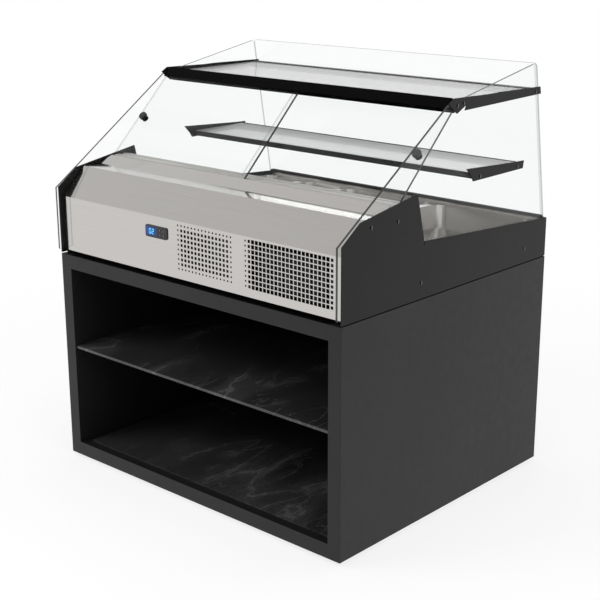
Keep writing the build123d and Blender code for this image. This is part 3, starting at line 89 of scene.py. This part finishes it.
class Look:
    """A material with one main shader, and short calls for its pattern nodes."""

    def __init__(self, name, **sockets):
        self.material = bpy.data.materials.new(name)
        self.material.use_nodes = True
        self.tree = self.material.node_tree
        self.tree.nodes.clear()
        self.output = self.node("ShaderNodeOutputMaterial")
        self.shader = self.node("ShaderNodeBsdfPrincipled")
        self.link(self.shader.outputs["BSDF"], self.output.inputs["Surface"])
        self.places = self.node("ShaderNodeTexCoord").outputs["Object"]
        for socket, value in sockets.items():
            self.put(self.shader.inputs[socket.replace("_", " ")], value)

    def node(self, kind, **settings):
        node = self.tree.nodes.new(kind)
        for name, value in settings.items():
            setattr(node, name, value)
        return node

    def link(self, source, target):
        self.tree.links.new(source, target)

    def put(self, target, value):
        """Sets a socket to a value, or links another socket to it."""
        if isinstance(value, bpy.types.NodeSocket):
            self.link(value, target)
        else:
            target.default_value = value

    def stretched(self, scale, turn=(0, 0, 0)):
        """The object's coordinates, turned and then scaled along each axis."""
        mapping = self.node("ShaderNodeMapping")
        self.put(mapping.inputs["Vector"], self.places)
        mapping.inputs["Rotation"].default_value = [math.radians(angle) for angle in turn]
        mapping.inputs["Scale"].default_value = scale
        return mapping.outputs["Vector"]

    def noise(self, scale, detail=2.0, vector=None, distortion=0.0):
        noise = self.node("ShaderNodeTexNoise")
        self.put(noise.inputs["Vector"], vector or self.places)
        noise.inputs["Scale"].default_value = scale
        noise.inputs["Detail"].default_value = detail
        noise.inputs["Distortion"].default_value = distortion
        return noise.outputs["Fac"]

    def cells(self, scale, vector=None):
        """Distance to the nearest cell's middle."""
        voronoi = self.node("ShaderNodeTexVoronoi")
        self.put(voronoi.inputs["Vector"], vector or self.places)
        voronoi.inputs["Scale"].default_value = scale
        return voronoi.outputs["Distance"]

    def sums(self, operation, first, second=0.0):
        node = self.node("ShaderNodeMath", operation=operation)
        self.put(node.inputs[0], first)
        self.put(node.inputs[1], second)
        return node.outputs["Value"]

    def spread(self, value, low, high, to_low=0.0, to_high=1.0):
        """A value moved from one range to another, held at its ends."""
        node = self.node("ShaderNodeMapRange")
        self.put(node.inputs["Value"], value)
        set_range(node, low, high, to_low, to_high)
        return node.outputs["Result"]

    def mix(self, factor, first, second):
        """A colour between two colours."""
        node = self.node("ShaderNodeMix", data_type="RGBA")
        self.put(node.inputs["Factor"], factor)
        self.put(node.inputs[6], first)
        self.put(node.inputs[7], second)
        return node.outputs[2]

    def facing(self, axis):
        """How squarely a face looks along an axis, either way."""
        normal = self.node("ShaderNodeNewGeometry").outputs["True Normal"]
        dot = self.node("ShaderNodeVectorMath", operation="DOT_PRODUCT")
        self.link(normal, dot.inputs[0])
        dot.inputs[1].default_value = axis
        return self.sums("ABSOLUTE", dot.outputs["Value"])

    def hole_walls(self):
        """One on the walls of the fascia's vent holes, which lie in their own shadow."""
        walls = self.spread(self.facing((0, 1, 0)), 0.2, 0.4, 1.0, 0.0)
        in_sheet = self.spread(self.along("Y"), FASCIA_BACK, FASCIA_BACK + 0.0001, 1.0, 0.0)
        below_bend = self.spread(self.along("Z"), VENT_TOP, VENT_TOP + 0.001, 1.0, 0.0)
        above_foot = self.spread(self.along("Z"), VENT_FOOT, VENT_FOOT + 0.001, 0.0, 1.0)
        in_height = self.sums("MULTIPLY", below_bend, above_foot)
        return self.sums("MULTIPLY", self.sums("MULTIPLY", walls, in_sheet), in_height)

    def along(self, axis):
        """Position along x, y or z."""
        parts = self.node("ShaderNodeSeparateXYZ")
        self.link(self.places, parts.inputs["Vector"])
        return parts.outputs[axis]

    def colour(self, value):
        self.put(self.shader.inputs["Base Color"], value)

    def rough(self, value):
        self.put(self.shader.inputs["Roughness"], value)

    def relief(self, height, depth, strength=1.0, edge=0.0):
        """Bumps the surface, over rounded edges where edge is their radius."""
        bump = self.node("ShaderNodeBump")
        bump.inputs["Strength"].default_value = strength
        bump.inputs["Distance"].default_value = depth
        self.link(height, bump.inputs["Height"])
        if edge:
            bevel = self.node("ShaderNodeBevel", samples=4)
            bevel.inputs["Radius"].default_value = edge
            self.link(bevel.outputs["Normal"], bump.inputs["Normal"])
        self.link(bump.outputs["Normal"], self.shader.inputs["Normal"])

    def shine(self):
        """Share of light that glass mirrors: little face on, and all of it at a grazing angle."""
        weight = self.node("ShaderNodeLayerWeight")
        weight.inputs["Blend"].default_value = 0.5
        steep = self.sums("POWER", weight.outputs["Facing"], 5.0)
        return self.spread(steep, 0.0, 1.0, FACE_ON_SHINE, 1.0)

    def over_clear(self, factor, tint):
        """Lays the main shader over a clear one, by a factor."""
        clear = self.node("ShaderNodeBsdfTransparent")
        self.put(clear.inputs["Color"], tint)
        mix = self.node("ShaderNodeMixShader")
        self.put(mix.inputs[0], factor)
        self.link(clear.outputs["BSDF"], mix.inputs[1])
        self.link(self.shader.outputs["BSDF"], mix.inputs[2])
        self.link(mix.outputs["Shader"], self.output.inputs["Surface"])


def grey(level, warmth=0.0):
    """Colour of a brightness, warmer where warmth is above zero."""
    return (level * (1 + warmth), level, level * (1 - warmth), 1.0)


# Materials

def laminate(name="laminate", top_shade_tone=0.010, shine=0.27):
    """Satin black laminate with a fine grain and faint cloudiness. Its upward faces can be painted darker,
    as shade.
    """
    look = Look(name, Specular_IOR_Level=shine)
    cloud = look.noise(3.0, 4.0)
    grain = look.noise(700.0, 2.0)
    surface = look.mix(look.spread(cloud, 0.35, 0.65), grey(0.0088), grey(0.0122, 0.01))
    # Faces that look up take a darker colour: painted shade, for the recess under the fascia.
    upward = look.spread(look.facing((0, 0, 1)), 0.8, 0.9)
    look.colour(look.mix(upward, surface, grey(top_shade_tone)))
    look.rough(look.spread(look.noise(40.0, 3.0), 0.3, 0.7, 0.38, 0.46))
    look.relief(grain, 0.00012, 0.35, edge=0.0009)
    return look.material


def stone():
    """Polished black stone with thin grey veins running aslant."""
    look = Look("stone")
    turned = look.stretched((2.7, 0.9, 1.0))
    wander = look.noise(1.5, 8.0, turned, 0.7)
    fine = look.noise(4.0, 8.0, turned, 0.9)
    veins = look.sums("ABSOLUTE", look.sums("SUBTRACT", wander, 0.5))
    threads = look.sums("ABSOLUTE", look.sums("SUBTRACT", fine, 0.5))
    main = look.spread(veins, 0.0, 0.016, 1.0, 0.0)
    thin = look.spread(threads, 0.0, 0.012, 0.6, 0.0)
    haze = look.spread(veins, 0.0, 0.11, 0.35, 0.0)
    patch = look.spread(look.noise(3.5, 3.0), 0.38, 0.60)
    share = look.sums("MULTIPLY", look.sums("MAXIMUM", look.sums("MAXIMUM", main, thin), haze), patch)
    speckle = look.spread(look.noise(170.0, 6.0), 0.3, 0.7)
    body = look.mix(speckle, grey(0.012), grey(0.040))
    look.colour(look.mix(look.sums("MULTIPLY", share, 0.62), body, grey(0.17)))
    look.rough(look.spread(share, 0.0, 1.0, 0.13, 0.24))
    look.relief(look.noise(30.0, 3.0), 0.0001, 0.15, edge=0.0006)
    return look.material


def black_steel(name="black_steel", tone=0.0065, edge=0.0006, shine=0.19):
    """Satin black powder coat with its fine orange-peel texture."""
    look = Look(name, Specular_IOR_Level=shine)
    cloud = look.noise(5.0, 3.0)
    look.colour(look.mix(look.spread(cloud, 0.3, 0.7), grey(tone * 0.85), grey(tone * 1.15, 0.01)))
    look.rough(look.spread(look.noise(90.0, 2.0), 0.3, 0.7, 0.36, 0.44))
    look.relief(look.noise(900.0, 2.0), 0.00010, 0.35, edge=edge)
    return look.material


def stainless(name="stainless", along=(2.0, 260.0, 260.0), tone=0.545, rough=(0.09, 0.14), relief=0.12):
    """Stainless steel brushed along one direction."""
    look = Look(name, Metallic=1.0)
    brushed = look.noise(3.0, 6.0, look.stretched(along))
    smudge = look.noise(2.5, 4.0)
    pale = look.mix(look.spread(brushed, 0.3, 0.7), grey(tone * 0.97, 0.035), grey(tone * 1.04, 0.03))
    body = look.mix(look.spread(smudge, 0.35, 0.75, 0.0, 0.25), pale, grey(tone * 0.97, 0.03))
    # The walls of the vent holes are painted near black, as the shade inside the holes.
    look.colour(look.mix(look.hole_walls(), body, grey(0.012)))
    look.rough(look.spread(brushed, 0.25, 0.75, *rough))
    look.relief(brushed, 0.00003, relief, edge=0.0003)
    return look.material


def glass(name, normal, edge_cover=0.96, tint=(0.985, 0.990, 0.988, 1.0)):
    """Clear float glass with dark polished edges. The faces of the pane look along normal."""
    look = Look(name)
    on_edge = look.spread(look.facing(normal), 0.3, 0.6, 1.0, 0.0)
    edge_colour = look.mix(look.noise(40.0, 2.0), (0.009, 0.011, 0.011, 1.0), (0.015, 0.017, 0.016, 1.0))
    inside = look.node("ShaderNodeNewGeometry").outputs["Backfacing"]
    cover = look.spread(inside, 0.0, 1.0, edge_cover, EDGE_COVER_INSIDE)
    mirror_colour = look.mix(look.noise(9.0, 3.0), grey(0.93), grey(0.97))
    look.colour(look.mix(on_edge, mirror_colour, edge_colour))
    look.put(look.shader.inputs["Metallic"], look.sums("SUBTRACT", 1.0, on_edge))
    look.rough(look.spread(on_edge, 0.0, 1.0, 0.01, 0.30))
    look.over_clear(look.sums("MAXIMUM", look.sums("MULTIPLY", on_edge, cover), look.shine()), tint)
    return look.material


def shelf_glass(name, cover, tone):
    """Glass shelf whose light grey surface lets part of what is behind show through."""
    look = Look(name, Roughness=0.16, Specular_IOR_Level=0.25)
    cloud = look.spread(look.noise(6.0, 3.0), 0.3, 0.7)
    on_edge = look.spread(look.facing((0, 0, 1)), 0.3, 0.6, 1.0, 0.0)
    face = look.mix(cloud, grey(tone * 0.96), grey(tone * 1.03))
    look.colour(look.mix(on_edge, face, (0.35, 0.37, 0.36, 1.0)))
    look.over_clear(look.spread(on_edge, 0.0, 1.0, cover, 0.9), (0.97, 0.98, 0.975, 1.0))
    return look.material


def plastic(name, tone, rough=(0.32, 0.42), relief=0.3):
    """Moulded plastic with a fine spark-eroded texture."""
    look = Look(name)
    look.colour(look.mix(look.noise(60.0, 3.0), grey(tone * 0.85), grey(tone * 1.15)))
    look.rough(look.spread(look.noise(180.0, 2.0), 0.3, 0.7, *rough))
    look.relief(look.noise(1600.0, 2.0), 0.00008, relief, edge=0.0004)
    return look.material


def metal(name, colour, rough, scale=220.0, depth=0.00005):
    """Plain metal with faint mottling."""
    look = Look(name, Metallic=1.0)
    darker = [value * 0.86 for value in colour[:3]] + [1.0]
    look.colour(look.mix(look.spread(look.noise(25.0, 4.0), 0.3, 0.7), darker, colour))
    look.rough(look.spread(look.noise(70.0, 3.0), 0.3, 0.7, rough - 0.06, rough + 0.06))
    look.relief(look.noise(scale, 3.0), depth, 0.3)
    return look.material


def rubber():
    """Matt black rubber."""
    look = Look("rubber")
    look.colour(look.mix(look.noise(80.0, 3.0), grey(0.012), grey(0.022)))
    look.rough(look.spread(look.noise(120.0, 2.0), 0.3, 0.7, 0.65, 0.8))
    look.relief(look.noise(1200.0, 2.0), 0.0001, 0.4)
    return look.material


def foam():
    """Cut polyurethane foam, cream with small open cells."""
    look = Look("foam")
    cells = look.cells(420.0)
    look.colour(look.mix(cells, (0.50, 0.43, 0.26, 1.0), (0.72, 0.66, 0.46, 1.0)))
    look.rough(look.spread(cells, 0.0, 0.8, 0.75, 0.95))
    look.relief(cells, 0.0006, 0.5)
    return look.material


def beech():
    """Beech with its grain along the dowels."""
    look = Look("beech")
    grain = look.noise(4.0, 6.0, look.stretched((6.0, 220.0, 220.0)), 0.6)
    look.colour(look.mix(look.spread(grain, 0.35, 0.65), (0.42, 0.26, 0.13, 1.0), (0.62, 0.43, 0.25, 1.0)))
    look.rough(look.spread(grain, 0.3, 0.7, 0.5, 0.65))
    look.relief(grain, 0.0001, 0.4)
    return look.material


def display(middle, half_width):
    """Backlit blue panel, brightest towards its left."""
    look = Look("display", Roughness=0.12)
    fade = look.spread(look.along("X"), middle - half_width * 0.6, middle + half_width, 0.0, 1.0)
    dots = look.noise(500.0, 1.0)
    glow = look.mix(fade, (0.004, 0.036, 0.24, 1.0), (0.002, 0.010, 0.070, 1.0))
    look.colour(look.mix(dots, (0.002, 0.012, 0.05, 1.0), (0.004, 0.02, 0.08, 1.0)))
    look.put(look.shader.inputs["Emission Color"], glow)
    look.shader.inputs["Emission Strength"].default_value = 0.9
    return look.material


def lit_mark(name, colour, strength):
    """A glowing mark with an uneven edge to its light."""
    look = Look(name, Roughness=0.3)
    glow = look.mix(look.noise(900.0, 1.0), [value * 0.8 for value in colour[:3]] + [1.0], colour)
    look.colour(glow)
    look.put(look.shader.inputs["Emission Color"], glow)
    look.shader.inputs["Emission Strength"].default_value = strength
    return look.material


# Mesh pieces

def mesh_object(name, mesh_code, material, body):
    """An object from mesh code, with its finish, body and material slot."""
    mesh = bpy.data.meshes.new(name)
    work = bmesh.new()
    mesh_code(work)
    bmesh.ops.recalc_face_normals(work, faces=work.faces)
    work.to_mesh(mesh)
    work.free()
    piece = bpy.data.objects.new(name, mesh)
    bpy.context.scene.collection.objects.link(piece)
    mesh.materials.append(material)
    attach(piece, body)
    return piece


def plate(work, outline, low, high):
    """Solid between y low and y high from an outline in x and z."""
    rings = [[work.verts.new((x, y, z)) for x, z in outline] for y in (low, high)]
    count = len(outline)
    work.faces.new(rings[0])
    work.faces.new(list(reversed(rings[1])))
    for place in range(count):
        after = (place + 1) % count
        work.faces.new((rings[0][place], rings[1][place], rings[1][after], rings[0][after]))


def bar(middle, length, width, upright):
    """Outline of a segment with pointed ends."""
    x, z = middle
    half, side = length / 2, width / 2
    points = [(-half, 0), (-half + side, side), (half - side, side), (half, 0), (half - side, -side),
              (-half + side, -side)]
    if upright:
        points = [(-across, run) for run, across in points]
    return [(x + dx, z + dz) for dx, dz in points]


SEGMENTS = {
    "top": (0, 1, False), "middle": (0, 0, False), "bottom": (0, -1, False),
    "upper_left": (-1, 0.5, True), "upper_right": (1, 0.5, True),
    "lower_left": (-1, -0.5, True), "lower_right": (1, -0.5, True),
}
SEGMENT_SHARE = 0.94
DIGITS = {
    "0": ("top", "bottom", "upper_left", "upper_right", "lower_left", "lower_right"),
    "2": ("top", "upper_right", "middle", "lower_left", "bottom"),
}


def digit_outlines(digit, middle, width, height, stroke):
    """Outlines of a seven-segment digit's lit segments."""
    x, z = middle
    outlines = []
    for name in DIGITS[digit]:
        across, up, upright = SEGMENTS[name]
        place = (x + across * (width - stroke) / 2, z + up * (height - stroke) / 2)
        length = (height - stroke) / 2 if upright else width - stroke
        outlines.append(bar(place, length * SEGMENT_SHARE, stroke, upright))
    return outlines


def ring_outlines(middle, radius, stroke, start, turn, steps):
    """Short bars along an arc, as one outline."""
    x, z = middle
    angles = [math.radians(start + turn * step / steps) for step in range(steps + 1)]
    outer = [(x + radius * math.cos(a), z + radius * math.sin(a)) for a in angles]
    inner = [(x + (radius - stroke) * math.cos(a), z + (radius - stroke) * math.sin(a)) for a in angles]
    return [outer + list(reversed(inner))]


def triangle_outline(middle, size, up):
    """Outline of an arrow that points up or down."""
    x, z = middle
    tip = size / 2 if up else -size / 2
    return [(x - size / 2, z - tip), (x + size / 2, z - tip), (x, z + tip)]


DIGIT_WIDTH = 0.0080
DIGIT_HEIGHT = 0.0145
DIGIT_STROKE = 0.0021
DIGIT_PITCH = 0.0100
MARK_PROUD = 0.00015
MARK_SUNK = 0.0002
MARK_SIZE = 0.0030
MARK_STROKE = 0.0006


def display_digits(material):
    """Two seven-segment digits that stand on the display."""
    low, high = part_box("thermostat_display")
    middle = (low + high) / 2
    front = low.y

    def build(work):
        for place, digit in ((-0.5, "0"), (0.5, "2")):
            spot = (middle.x + place * DIGIT_PITCH, middle.z)
            for outline in digit_outlines(digit, spot, DIGIT_WIDTH, DIGIT_HEIGHT, DIGIT_STROKE):
                plate(work, outline, front - MARK_PROUD, front + MARK_SUNK)

    return mesh_object("display_digits", build, material, "case")


def key_mark(key, material):
    """Symbol on a key: a lamp ring, a power sign or an arrow."""
    low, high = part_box(key)
    spot = ((low.x + high.x) / 2, (low.z + high.z) / 2)
    radius = MARK_SIZE / 2
    shapes = {
        "key_light": ring_outlines(spot, radius, MARK_STROKE, 0, 359, 24),
        "key_power": ring_outlines(spot, radius, MARK_STROKE, 120, 300, 20)
        + [bar((spot[0], spot[1] + radius * 0.6), radius, MARK_STROKE, True)],
        "key_down": [triangle_outline(spot, MARK_SIZE, False)],
        "key_up": [triangle_outline(spot, MARK_SIZE, True)],
    }

    def build(work):
        for outline in shapes[key]:
            plate(work, outline, low.y - MARK_PROUD, low.y + MARK_SUNK)

    return mesh_object(key + "_mark", build, material, key)


def islands(node):
    """Boxes, as (lowest, highest), of the separate solids of a CAD node."""
    work = bmesh.new()
    work.from_mesh(nodes[node].data)
    bmesh.ops.remove_doubles(work, verts=work.verts, dist=1e-6)
    left = set(work.verts)
    boxes = []
    while left:
        found, edge = set(), [left.pop()]
        while edge:
            vertex = edge.pop()
            found.add(vertex)
            for link in vertex.link_edges:
                other = link.other_vert(vertex)
                if other in left:
                    left.discard(other)
                    edge.append(other)
        corners = [[vertex.co[axis] for vertex in found] for axis in range(3)]
        boxes.append((Vector(min(c) for c in corners), Vector(max(c) for c in corners)))
    work.free()
    return boxes


# Size and place of the painted highlight crescents on the screws.
RIM_OUTER = 0.0058
RIM_INNER = 0.0036
RIM_THINNEST = 0.0002
RIM_FIRST = math.radians(-75)
RIM_LAST = math.radians(50)
RIM_STEPS = 10
RIM_PROUD = 0.000005


def screw_rim_glints(material):
    """Painted highlight: a bright crescent at the rear side of each countersunk screw, standing in for
    light on the countersink's wall.
    """
    boxes = islands("countersunk_screws")

    def build(work):
        for low, high in boxes:
            side = 1 if low.x > 0 else -1
            face = high.x if side > 0 else low.x
            middle = (low + high) / 2
            rows = []
            for step in range(RIM_STEPS + 1):
                angle = RIM_FIRST + (RIM_LAST - RIM_FIRST) * step / RIM_STEPS
                swell = math.sin(math.pi * step / RIM_STEPS)
                inside = RIM_OUTER - RIM_THINNEST - (RIM_OUTER - RIM_INNER - RIM_THINNEST) * swell
                row = []
                for radius in (inside, RIM_OUTER):
                    y = middle.y + radius * math.cos(angle)
                    z = middle.z + radius * math.sin(angle)
                    for x in (face - side * MARK_SUNK, face + side * RIM_PROUD):
                        row.append(work.verts.new((x, y, z)))
                rows.append(row)
            for row, after in zip(rows, rows[1:]):
                for first, second in ((0, 1), (1, 3), (3, 2), (2, 0)):
                    work.faces.new((row[first], row[second], after[second], after[first]))
            work.faces.new((rows[0][0], rows[0][2], rows[0][3], rows[0][1]))
            work.faces.new((rows[-1][0], rows[-1][1], rows[-1][3], rows[-1][2]))

    return mesh_object("screw_rim_glints", build, material, "case")


STRIP_PROUD = 0.0004
STRIP_SUNK = 0.0002
STRIP_TOP = 0.7015
STRIP_FOOT = 0.687
STRIP_END = 0.004


def rear_strip(material):
    """Thin stainless facing on the lower part of the rail that holds the rear glass."""
    low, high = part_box("rear_glass_rail")

    def build(work):
        left, right = low.x + STRIP_END, high.x - STRIP_END
        outline = [(left, STRIP_FOOT), (right, STRIP_FOOT), (right, STRIP_TOP), (left, STRIP_TOP)]
        plate(work, outline, low.y - STRIP_PROUD, low.y + STRIP_SUNK)

    return mesh_object("rear_strip", build, material, "case")


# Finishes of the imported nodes

DOOR_SLOPE = math.radians(44.2)


def paint(material, *names):
    """Puts a material in every slot of the named nodes."""
    for name in names:
        for slot in nodes[name].material_slots:
            slot.material = material


def rear_glass_normal():
    """Direction across the leaning rear glass, from its mesh."""
    faces = nodes["rear_glass"].data.polygons
    largest = max(faces, key=lambda face: face.area)
    return tuple(largest.normal)


def finish_nodes():
    """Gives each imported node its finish."""
    paint(laminate(), "left_side_board", "right_side_board", "bottom_board", "back_board")
    # The top board's upward faces are painted near black, as the shade in the recess under the fascia.
    paint(laminate("shaded_laminate", 0.001), "top_board")
    paint(stone(), "stone_deck", "stone_shelf")
    paint(
        black_steel(), "inner_side_plates", "left_side_panel", "right_side_panel", "rear_panel",
        "rear_glass_rail", "shelf_rails", "top_shelf_brackets", "middle_shelf_brackets",
    )
    # A darker, duller copy of the black steel: on the floor tray it is painted shade for the recess under
    # the fascia, and the upper door track takes the same near black.
    paint(black_steel("rail_black_and_tray_shade", 0.0012, shine=0.02), "upper_door_track", "floor_tray")
    # Near black screw heads: black screws, darkened further as painted shade inside their countersinks.
    paint(black_steel("screw_black_and_shade", 0.0004, 0.0, 0.02), "countersunk_screws")
    paint(black_steel("machine_black", 0.014, 0.0, 0.5), "compressor", "fan_motor")
    paint(stainless(), "stainless_fascia", "front_inner_panel", "bulkhead")
    paint(stainless("track_steel", rough=(0.30, 0.38), tone=0.53), "lower_door_track")
    paint(
        stainless("pan_steel", (4.0, 300.0, 300.0), 0.58, (0.20, 0.27), 0.04),
        "well_tub", "pan_support_bars", "narrow_pan_left", "narrow_pan_right",
        "wide_pan_left", "wide_pan_right",
    )
    paint(glass("side_glass", (1, 0, 0)), "left_side_glass", "right_side_glass")
    paint(glass("rear_glass", rear_glass_normal(), 0.5), "rear_glass")
    door_normal = (0.0, -math.sin(DOOR_SLOPE), math.cos(DOOR_SLOPE))
    paint(glass("door_glass", door_normal), "left_door_glass", "right_door_glass")
    paint(shelf_glass("top_shelf_glass", 0.66, 0.42), "top_shelf_glass")
    paint(shelf_glass("middle_shelf_glass", 0.55, 0.68), "middle_shelf_glass")
    paint(
        plastic("black_plastic", 0.008), "levelling_feet", "cable_gland", "left_door_knob",
        "right_door_knob", "thermostat_housing", "key_light", "key_power", "key_down", "key_up",
    )
    paint(plastic("grey_plastic", 0.12, (0.4, 0.5)), "condenser_fan", "control_box")
    paint(rubber(), "compressor_grommets", "glass_setting_blocks")
    paint(foam(), "foam_insulation")
    paint(beech(), "cabinet_dowels")
    paint(metal("zinc", (0.62, 0.63, 0.66, 1.0), 0.30), "shelf_pins", "module_bolts", "temperature_probe")
    paint(metal("copper", (0.80, 0.42, 0.27, 1.0), 0.28), "filter_drier", "refrigerant_pipes")
    paint(metal("aluminium", (0.16, 0.16, 0.165, 1.0), 0.55), "condenser_coil")
    paint(metal("shroud_aluminium", (0.40, 0.41, 0.42, 1.0), 0.45), "fan_shroud")
    low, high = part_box("thermostat_display")
    paint(display((low.x + high.x) / 2, (high.x - low.x) / 2), "thermostat_display")


# Surroundings

def floor_look():
    """White floor that stays near white where it is seen, and keeps a soft shadow."""
    look = Look("floor_white", Roughness=0.9)
    look.colour(look.mix(look.noise(1.5, 2.0), grey(FLOOR_WHITE * 0.99), grey(FLOOR_WHITE)))
    light = look.node("ShaderNodeLightPath")
    seen = look.sums("MAXIMUM", light.outputs["Is Camera Ray"], light.outputs["Is Glossy Ray"])
    seen = look.sums("MAXIMUM", seen, light.outputs["Is Transmission Ray"])
    glow = look.node("ShaderNodeEmission")
    mix = look.node("ShaderNodeMixShader")
    distance = look.node("ShaderNodeVectorMath", operation="LENGTH")
    look.link(look.places, distance.inputs[0])
    glowing = look.spread(distance.outputs["Value"], FLOOR_NEAR, FLOOR_FAR, FLOOR_GLOW, 1.0)
    look.link(look.sums("MULTIPLY", seen, glowing), mix.inputs[0])
    look.link(look.shader.outputs["BSDF"], mix.inputs[1])
    look.link(glow.outputs["Emission"], mix.inputs[2])
    look.link(mix.outputs["Shader"], look.output.inputs["Surface"])
    return look.material


def add_floor():
    mesh = bpy.data.meshes.new("floor")
    work = bmesh.new()
    bmesh.ops.create_circle(work, cap_ends=True, segments=96, radius=FLOOR_RADIUS)
    work.to_mesh(mesh)
    work.free()
    floor = bpy.data.objects.new("floor", mesh)
    bpy.context.scene.collection.objects.link(floor)
    mesh.materials.append(floor_look())


def add_world():
    """White surroundings for what is seen, and a plain soft light for the rest."""
    world = bpy.data.worlds.new("studio")
    bpy.context.scene.world = world
    world.use_nodes = True
    tree = world.node_tree
    tree.nodes.clear()
    new = tree.nodes.new
    output = new("ShaderNodeOutputWorld")
    light = new("ShaderNodeLightPath")
    places = new("ShaderNodeTexCoord")
    parts = new("ShaderNodeSeparateXYZ")
    tree.links.new(places.outputs["Generated"], parts.inputs["Vector"])

    def ramp(source, low, high, to_low, to_high):
        node = new("ShaderNodeMapRange")
        tree.links.new(source, node.inputs["Value"])
        set_range(node, low, high, to_low, to_high)
        return node.outputs["Result"]

    def maths(operation, first, second):
        node = new("ShaderNodeMath")
        node.operation = operation
        tree.links.new(first, node.inputs[0])
        tree.links.new(second, node.inputs[1])
        return node.outputs["Value"]

    sky = ramp(parts.outputs["Z"], *SKY_FADE, SKY_HORIZON, SKY_TOP)
    bearing = maths("DIVIDE", parts.outputs["X"], parts.outputs["Y"])
    behind = ramp(parts.outputs["Y"], 0.0, 0.01, 0.0, 1.0)
    box = maths("MULTIPLY", ramp(bearing, *SOFTBOX_LEFT, 0.0, 1.0), ramp(bearing, *SOFTBOX_RIGHT, 1.0, 0.0))
    rows = maths("MULTIPLY", ramp(parts.outputs["Z"], *SOFTBOX_LOW, 0.0, 1.0),
                 ramp(parts.outputs["Z"], *SOFTBOX_HIGH, 1.0, 0.0))
    share = maths("MULTIPLY", maths("MULTIPLY", box, rows), behind)
    lit = maths("ADD", sky, ramp(share, 0.0, 1.0, 0.0, SOFTBOX_LIGHT))
    mirrored = new("ShaderNodeBackground")
    tree.links.new(lit, mirrored.inputs["Strength"])
    seen = new("ShaderNodeBackground")
    room = new("ShaderNodeBackground")
    room.inputs["Strength"].default_value = ROOM_LIGHT
    for background in (mirrored, seen, room):
        background.inputs["Color"].default_value = (1.0, 1.0, 1.0, 1.0)
    through = maths("MAXIMUM", light.outputs["Is Camera Ray"], light.outputs["Is Transmission Ray"])
    glossy = new("ShaderNodeMixShader")
    tree.links.new(light.outputs["Is Glossy Ray"], glossy.inputs[0])
    tree.links.new(room.outputs["Background"], glossy.inputs[1])
    tree.links.new(mirrored.outputs["Background"], glossy.inputs[2])
    final = new("ShaderNodeMixShader")
    tree.links.new(through, final.inputs[0])
    tree.links.new(glossy.outputs["Shader"], final.inputs[1])
    tree.links.new(seen.outputs["Background"], final.inputs[2])
    tree.links.new(final.outputs["Shader"], output.inputs["Surface"])


def add_lamps():
    for name, (place, size, power) in LAMPS.items():
        lamp = bpy.data.lights.new(name, "AREA")
        lamp.shape = "SQUARE"
        lamp.size = size
        lamp.energy = power
        holder = bpy.data.objects.new(name, lamp)
        holder.visible_glossy = False
        bpy.context.scene.collection.objects.link(holder)
        away = Vector(place) - Vector(LAMP_AIM)
        holder.matrix_world = Matrix.Translation(place) @ away.to_track_quat("Z", "Y").to_matrix().to_4x4()


def add_camera():
    lens = bpy.data.cameras.new("camera")
    lens.lens = CAMERA_LENS
    lens.sensor_width = CAMERA_SENSOR
    camera = bpy.data.objects.new("camera", lens)
    bpy.context.scene.collection.objects.link(camera)
    turn = Vector(CAMERA_FORWARD).to_track_quat("-Z", "Y").to_matrix().to_4x4()
    roll = Matrix.Rotation(math.radians(CAMERA_ROLL), 4, "Z")
    camera.matrix_world = Matrix.Translation(CAMERA_PLACE) @ turn @ roll
    bpy.context.scene.camera = camera


finish_nodes()
display_digits(lit_mark("digit_light", (0.06, 0.50, 0.85, 1.0), 1.0))
key_light_mark = lit_mark("key_light_mark", (0.22, 0.26, 0.30, 1.0), 0.45)
for key in ("key_light", "key_power", "key_down", "key_up"):
    key_mark(key, key_light_mark)
# Painted highlights on the countersinks of the screws.
screw_rim_glints(metal("rim_painted_highlight", (0.30, 0.30, 0.31, 1.0), 0.45))
rear_strip(stainless("strip_steel", rough=(0.20, 0.28), tone=0.60))
add_floor()
add_world()
add_lamps()
add_camera()
bpy.context.scene.view_settings.view_transform = "Standard"
bpy.context.scene.cycles.transparent_max_bounces = CLEAR_BOUNCES
